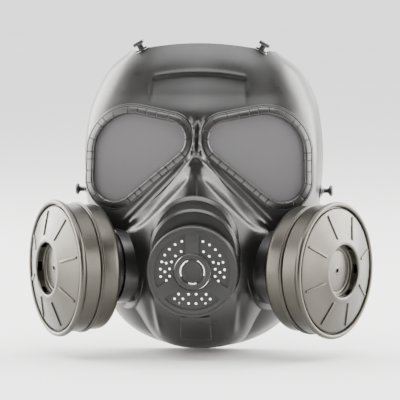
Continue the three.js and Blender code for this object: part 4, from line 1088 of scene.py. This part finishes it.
def make_shell():
    points, faces = sheet_between(*skin_layers())
    shell = make_object("shell", points, faces)
    step_front = speech_matrix.translation.y
    hood_front = step_front + 5
    middle_front = step_front + 2.5
    joins, cuts = [], []

    def forward(z, back, front, radius, chamfer=0.0):
        """A rod along -Y at a height, between two distances ahead of the rear plane."""
        edge = [(radius, front)]
        if chamfer:
            edge = [(radius, front - 0.75 * chamfer), (radius - chamfer, front)]
        profile = [(0, back), (radius, back), *edge, (0, front)]
        return (*disc_data(profile, 192, 0.5), facing_front(Vector((0, 0, z))))

    axis_z = speech_matrix.translation.z
    joins.append(forward(axis_z + 23, 79, -hood_front, HOOD_RADIUS, 3.2))
    joins.append(forward(axis_z + 12.3, 79, -middle_front, GRILLE_RADIUS, 2.4))
    joins.append(forward(axis_z, 79, -step_front, GRILLE_RADIUS))
    cuts.append(forward(axis_z, 65, 200, 27))
    cuts.append(forward(axis_z + 23, 65, -hood_front - MUZZLE_WALL, HOOD_RADIUS - MUZZLE_WALL))
    cuts.append(forward(axis_z, 65, -step_front - MUZZLE_WALL, GRILLE_RADIUS - MUZZLE_WALL))
    for side, sign in SIDES:
        at = eye_matrix(sign)
        frame_ring = [
            (-0.8, -12), (FRAME_OUTER, -12), (FRAME_OUTER, -1.2), (7.9, -0.4), (7.3, 0), (-0.8, 0),
        ]
        joins.append((*band_data(frame_ring, even_places()), at))
        cuts.append((*lens_plate(-0.8, -40, 30), at))
        cuts.append((*lens_plate(1.9, GASKET_BOTTOM - 0.3, 30), at))
        cuts.append((*lens_plate(RIM_WIDTH + 0.3, 0, 30), at))
        inlet = inlet_matrix(side)
        joins.append((*rod_data(BOSS_RADIUS, BOSS_BOTTOM, BOSS_PROUD, 128, 0.6), inlet))
        # a wall round the pocket, which would open through the cheek beside the boss;
        # the CAD shell has no such wall and is open there
        joins.append((*rod_data(POCKET_WALL_RADIUS, BOSS_BOTTOM - 5, BOSS_BOTTOM + 2.5, 128, 0.6), inlet))
        cuts.append((*rod_data(23.5, -40, 30, 128), inlet))
        cuts.append((*rod_data(POCKET_RADIUS, -23, BOSS_BOTTOM, 96), inlet))
        cuts.append((*rod_data(BOSS_RADIUS + 1, BOSS_PROUD, 14, 96), inlet))
        stud = side_stud_matrix(side, sign)
        joins.append((*rod_data(5.9, -3, 0, 64, 0.4), stud))
        cuts.append((*rod_data(2, -12, 5, 48), stud))
        stud = top_stud_matrix(side)
        joins.append((*box_data(11, 5.4, 3.7, 0, 0, -1.85, 0.4), stud))
        cuts.append((*box_data(10.4, 9, 9, 0, 0, 4.5, 0.3), stud))
        cuts.append((*rod_data(2, -2.9, 5, 48), stud))
    combine(shell, joins, "UNION")
    combine(shell, cuts, "DIFFERENCE")
    stands_for(shell, "facepiece_shell")


# ---------------------------------------------------------------- face seal

SEAL_INSET = 8.5


def share_in_from(station, distance):
    shares = np.linspace(edge_share(station), 0, 1500)
    points = skin(shares, station)
    run = np.concatenate([[0], np.cumsum(np.linalg.norm(np.diff(points, axis=0), axis=1))])
    return float(np.interp(distance, run, shares))


def seal_places():
    top, bottom = CROWN_TOP - SEAL_INSET, chin_station(CHIN_SWEEP) + SEAL_INSET
    left = [(-share_in_from(s, SEAL_INSET), s) for s in np.linspace(top, bottom, 13)]
    right = [(-share, s) for share, s in left[::-1]]

    def across(station, start):
        return [(start * (1 - 2 * i / 7), station) for i in range(1, 7)]

    return np.array(left + across(bottom, left[-1][0]) + right + across(top, right[-1][0]))


def closed_curve(points, count):
    """A smooth closed curve through points, in the Catmull-Rom way."""
    points = np.asarray(points)
    total = len(points)
    made = []
    for u in np.linspace(0, total, count, endpoint=False):
        i, t = int(u), u - int(u)
        a, b, c, d = (points[(i + k) % total] for k in (-1, 0, 1, 2))
        made.append(0.5 * (2 * b + (c - a) * t + (2 * a - 5 * b + 4 * c - d) * t * t
                           + (3 * b - a - 3 * c + d) * t**3))
    return np.array(made)


def make_face_seal():
    places = seal_places()
    points = skin(places[:, 0], places[:, 1])
    normals = skin_normal(places[:, 0], places[:, 1])
    middle_depth = SHELL_WALL + 2 + 2.2
    steps = 320
    centre = closed_curve(points - normals * middle_depth, steps)
    deeper = closed_curve(points - normals * (middle_depth + 1), steps)
    outward = centre - deeper
    outward /= np.linalg.norm(outward, axis=1, keepdims=True)
    tangent = np.roll(centre, -1, axis=0) - np.roll(centre, 1, axis=0)
    across = np.cross(tangent, outward)
    across /= np.linalg.norm(across, axis=1, keepdims=True)
    # a base against the shell, an outer lip and an inner lip with a channel between them
    section = [
        (5.2, 0.5), (4.2, 1.4), (1.5, 2.0), (-1.5, 2.0), (-4.2, 1.4), (-5.3, 0.4), (-5.6, -0.6),
        (-5.0, -1.1),
        (-3.6, -1.5), (-2.2, -1.2), (-1.0, -0.4), (0.4, -0.4), (1.6, -1.2), (3.4, -1.7),
        (5.0, -1.2), (5.6, -0.4),
    ]
    outline = fillet(section, 0.7, 2)
    ring = [centre + across * a + outward * b for a, b in outline]
    made = np.stack(ring, axis=1).reshape(-1, 3)
    seal = stands_for(make_object("seal_band", made, closed_rings(steps, len(outline)), 60), "face_seal")


# ---------------------------------------------------------------- filter stack and fasteners


def make_screen(side, node, bottom, radius, at):
    profile = [(2, bottom), (radius, bottom), (radius, bottom + 1), (radius - 1.2, bottom + 1),
               (radius - 1.5, bottom + 0.8), (2, bottom + 0.8)]
    turned_piece(f"{side}_{node}_plate", f"{side}_{node}", profile, at, 128, 0.15)


def carry_over(node):
    """Leaves a CAD node showing, with its slot's finish."""
    thing = frame["nodes"][node]
    thing.data.materials.clear()
    thing.data.materials.append(MATERIALS[SLOT_OF[node]])


def local_bottom(node, at):
    """Lowest height of a CAD node in an assembly's frame, in mm."""
    inverse = at.inverted()
    thing = frame["nodes"][node]
    return min((inverse @ (thing.matrix_world @ v.co / MM)).z for v in thing.data.vertices)


def make_filters(side):
    at = inlet_matrix(side)
    for node, radius in (("rear_screen", 42.8), ("middle_screen", 46.8), ("front_screen", 46.8)):
        make_screen(side, node, local_bottom(f"{side}_{node}", at), radius, at)
    carry_over(f"{side}_carbon_bed")
    carry_over(f"{side}_particulate_filter")


def make_rim_screws(side, sign):
    at = eye_matrix(sign)
    inverse = at.inverted()
    for k in (1, 2, 3):
        node = f"{side}_rim_screw_{k}"
        place = inverse @ middle(node)
        head = Matrix.Translation((place.x, place.y, 0))
        points, faces = disc_data([
            (0, -14.3), (2.2, -14.3), (2.8, -13.8), (2.8, -12.3), (1.5, -12.3), (1.5, 1.4), (0, 1.4),
        ], 40, 0.15)
        screw = make_object(f"{side}_screw_{k}", points, faces)
        slot = box_data(4.4, 0.7, 1.4, 0, 0, -14.3, 0.05)
        combine(screw, [(*slot, turn_z(35 * k))], "DIFFERENCE")
        screw.data.transform(scaled(at @ head))
        stands_for(screw, node)


# ---------------------------------------------------------------- assembly

make_shell()
make_eyepieces()
make_speech_unit()
make_face_seal()
for side, sign in SIDES:
    make_canister(side)
    make_side_stud(side, sign)
    make_top_stud(side)
    make_filters(side)
    make_rim_screws(side, sign)

# ---------------------------------------------------------------- floor and light


def make_floor():
    points, faces = box_data(16, 12, 0.02, 0, 5.2, 0, 0.004)
    floor = make_object("floor", np.asarray(points) / MM, faces)
    floor.location.z = cad_low.z - 0.012
    finish = Finish("floor_paper")
    finish.colours(finish.noise(3, 2), (0.80, 0.80, 0.80), (0.83, 0.83, 0.83))
    finish.set(Roughness=0.75)
    floor.data.materials.append(finish.material)


def make_light(name, location, aim, width, height, watts, colour=(1, 1, 1)):
    data = bpy.data.lights.new(name, "AREA")
    data.shape = "RECTANGLE"
    data.size, data.size_y = width, height
    data.energy = watts
    data.color = colour
    light = bpy.data.objects.new(name, data)
    light.location = location
    light.rotation_mode = "QUATERNION"
    light.rotation_quaternion = (Vector(aim) - Vector(location)).to_track_quat("-Z", "Y")
    bpy.context.collection.objects.link(light)


def make_world():
    world = bpy.data.worlds.new("studio")
    world.use_nodes = True
    tree = world.node_tree
    background = tree.nodes["Background"]
    direction = tree.nodes.new("ShaderNodeTexCoord")
    parts = tree.nodes.new("ShaderNodeSeparateXYZ")
    dimming = tree.nodes.new("ShaderNodeMapRange")
    dimming.interpolation_type = "SMOOTHSTEP"
    dimming.inputs["From Min"].default_value = -0.35
    dimming.inputs["From Max"].default_value = 0.25
    dimming.inputs["To Min"].default_value = 0.10
    dimming.inputs["To Max"].default_value = 4.0
    tree.links.new(direction.outputs["Generated"], parts.inputs["Vector"])
    tree.links.new(parts.outputs["Y"], dimming.inputs["Value"])
    tree.links.new(dimming.outputs["Result"], background.inputs["Strength"])
    background.inputs["Color"].default_value = (1, 1, 1, 1)
    bpy.context.scene.world = world


make_floor()
make_world()
make_light("top_box", (0.0, -0.5, 1.3), (0, 0, 0), 1.4, 0.7, 22)
make_light("left_box", (-1.2, -0.5, 0.2), (0, 0, 0), 0.9, 0.9, 26, (1, 0.975, 0.94))
make_light("right_box", (1.2, -0.5, 0.2), (0, 0, 0), 0.9, 0.9, 24, (1, 0.975, 0.94))
make_light("left_edge", (-1.1, 0.5, 0.3), (0, 0, 0), 1.0, 1.2, 60, (1, 0.98, 0.95))
make_light("right_edge", (1.1, 0.5, 0.3), (0, 0, 0), 1.0, 1.2, 60, (1, 0.98, 0.95))
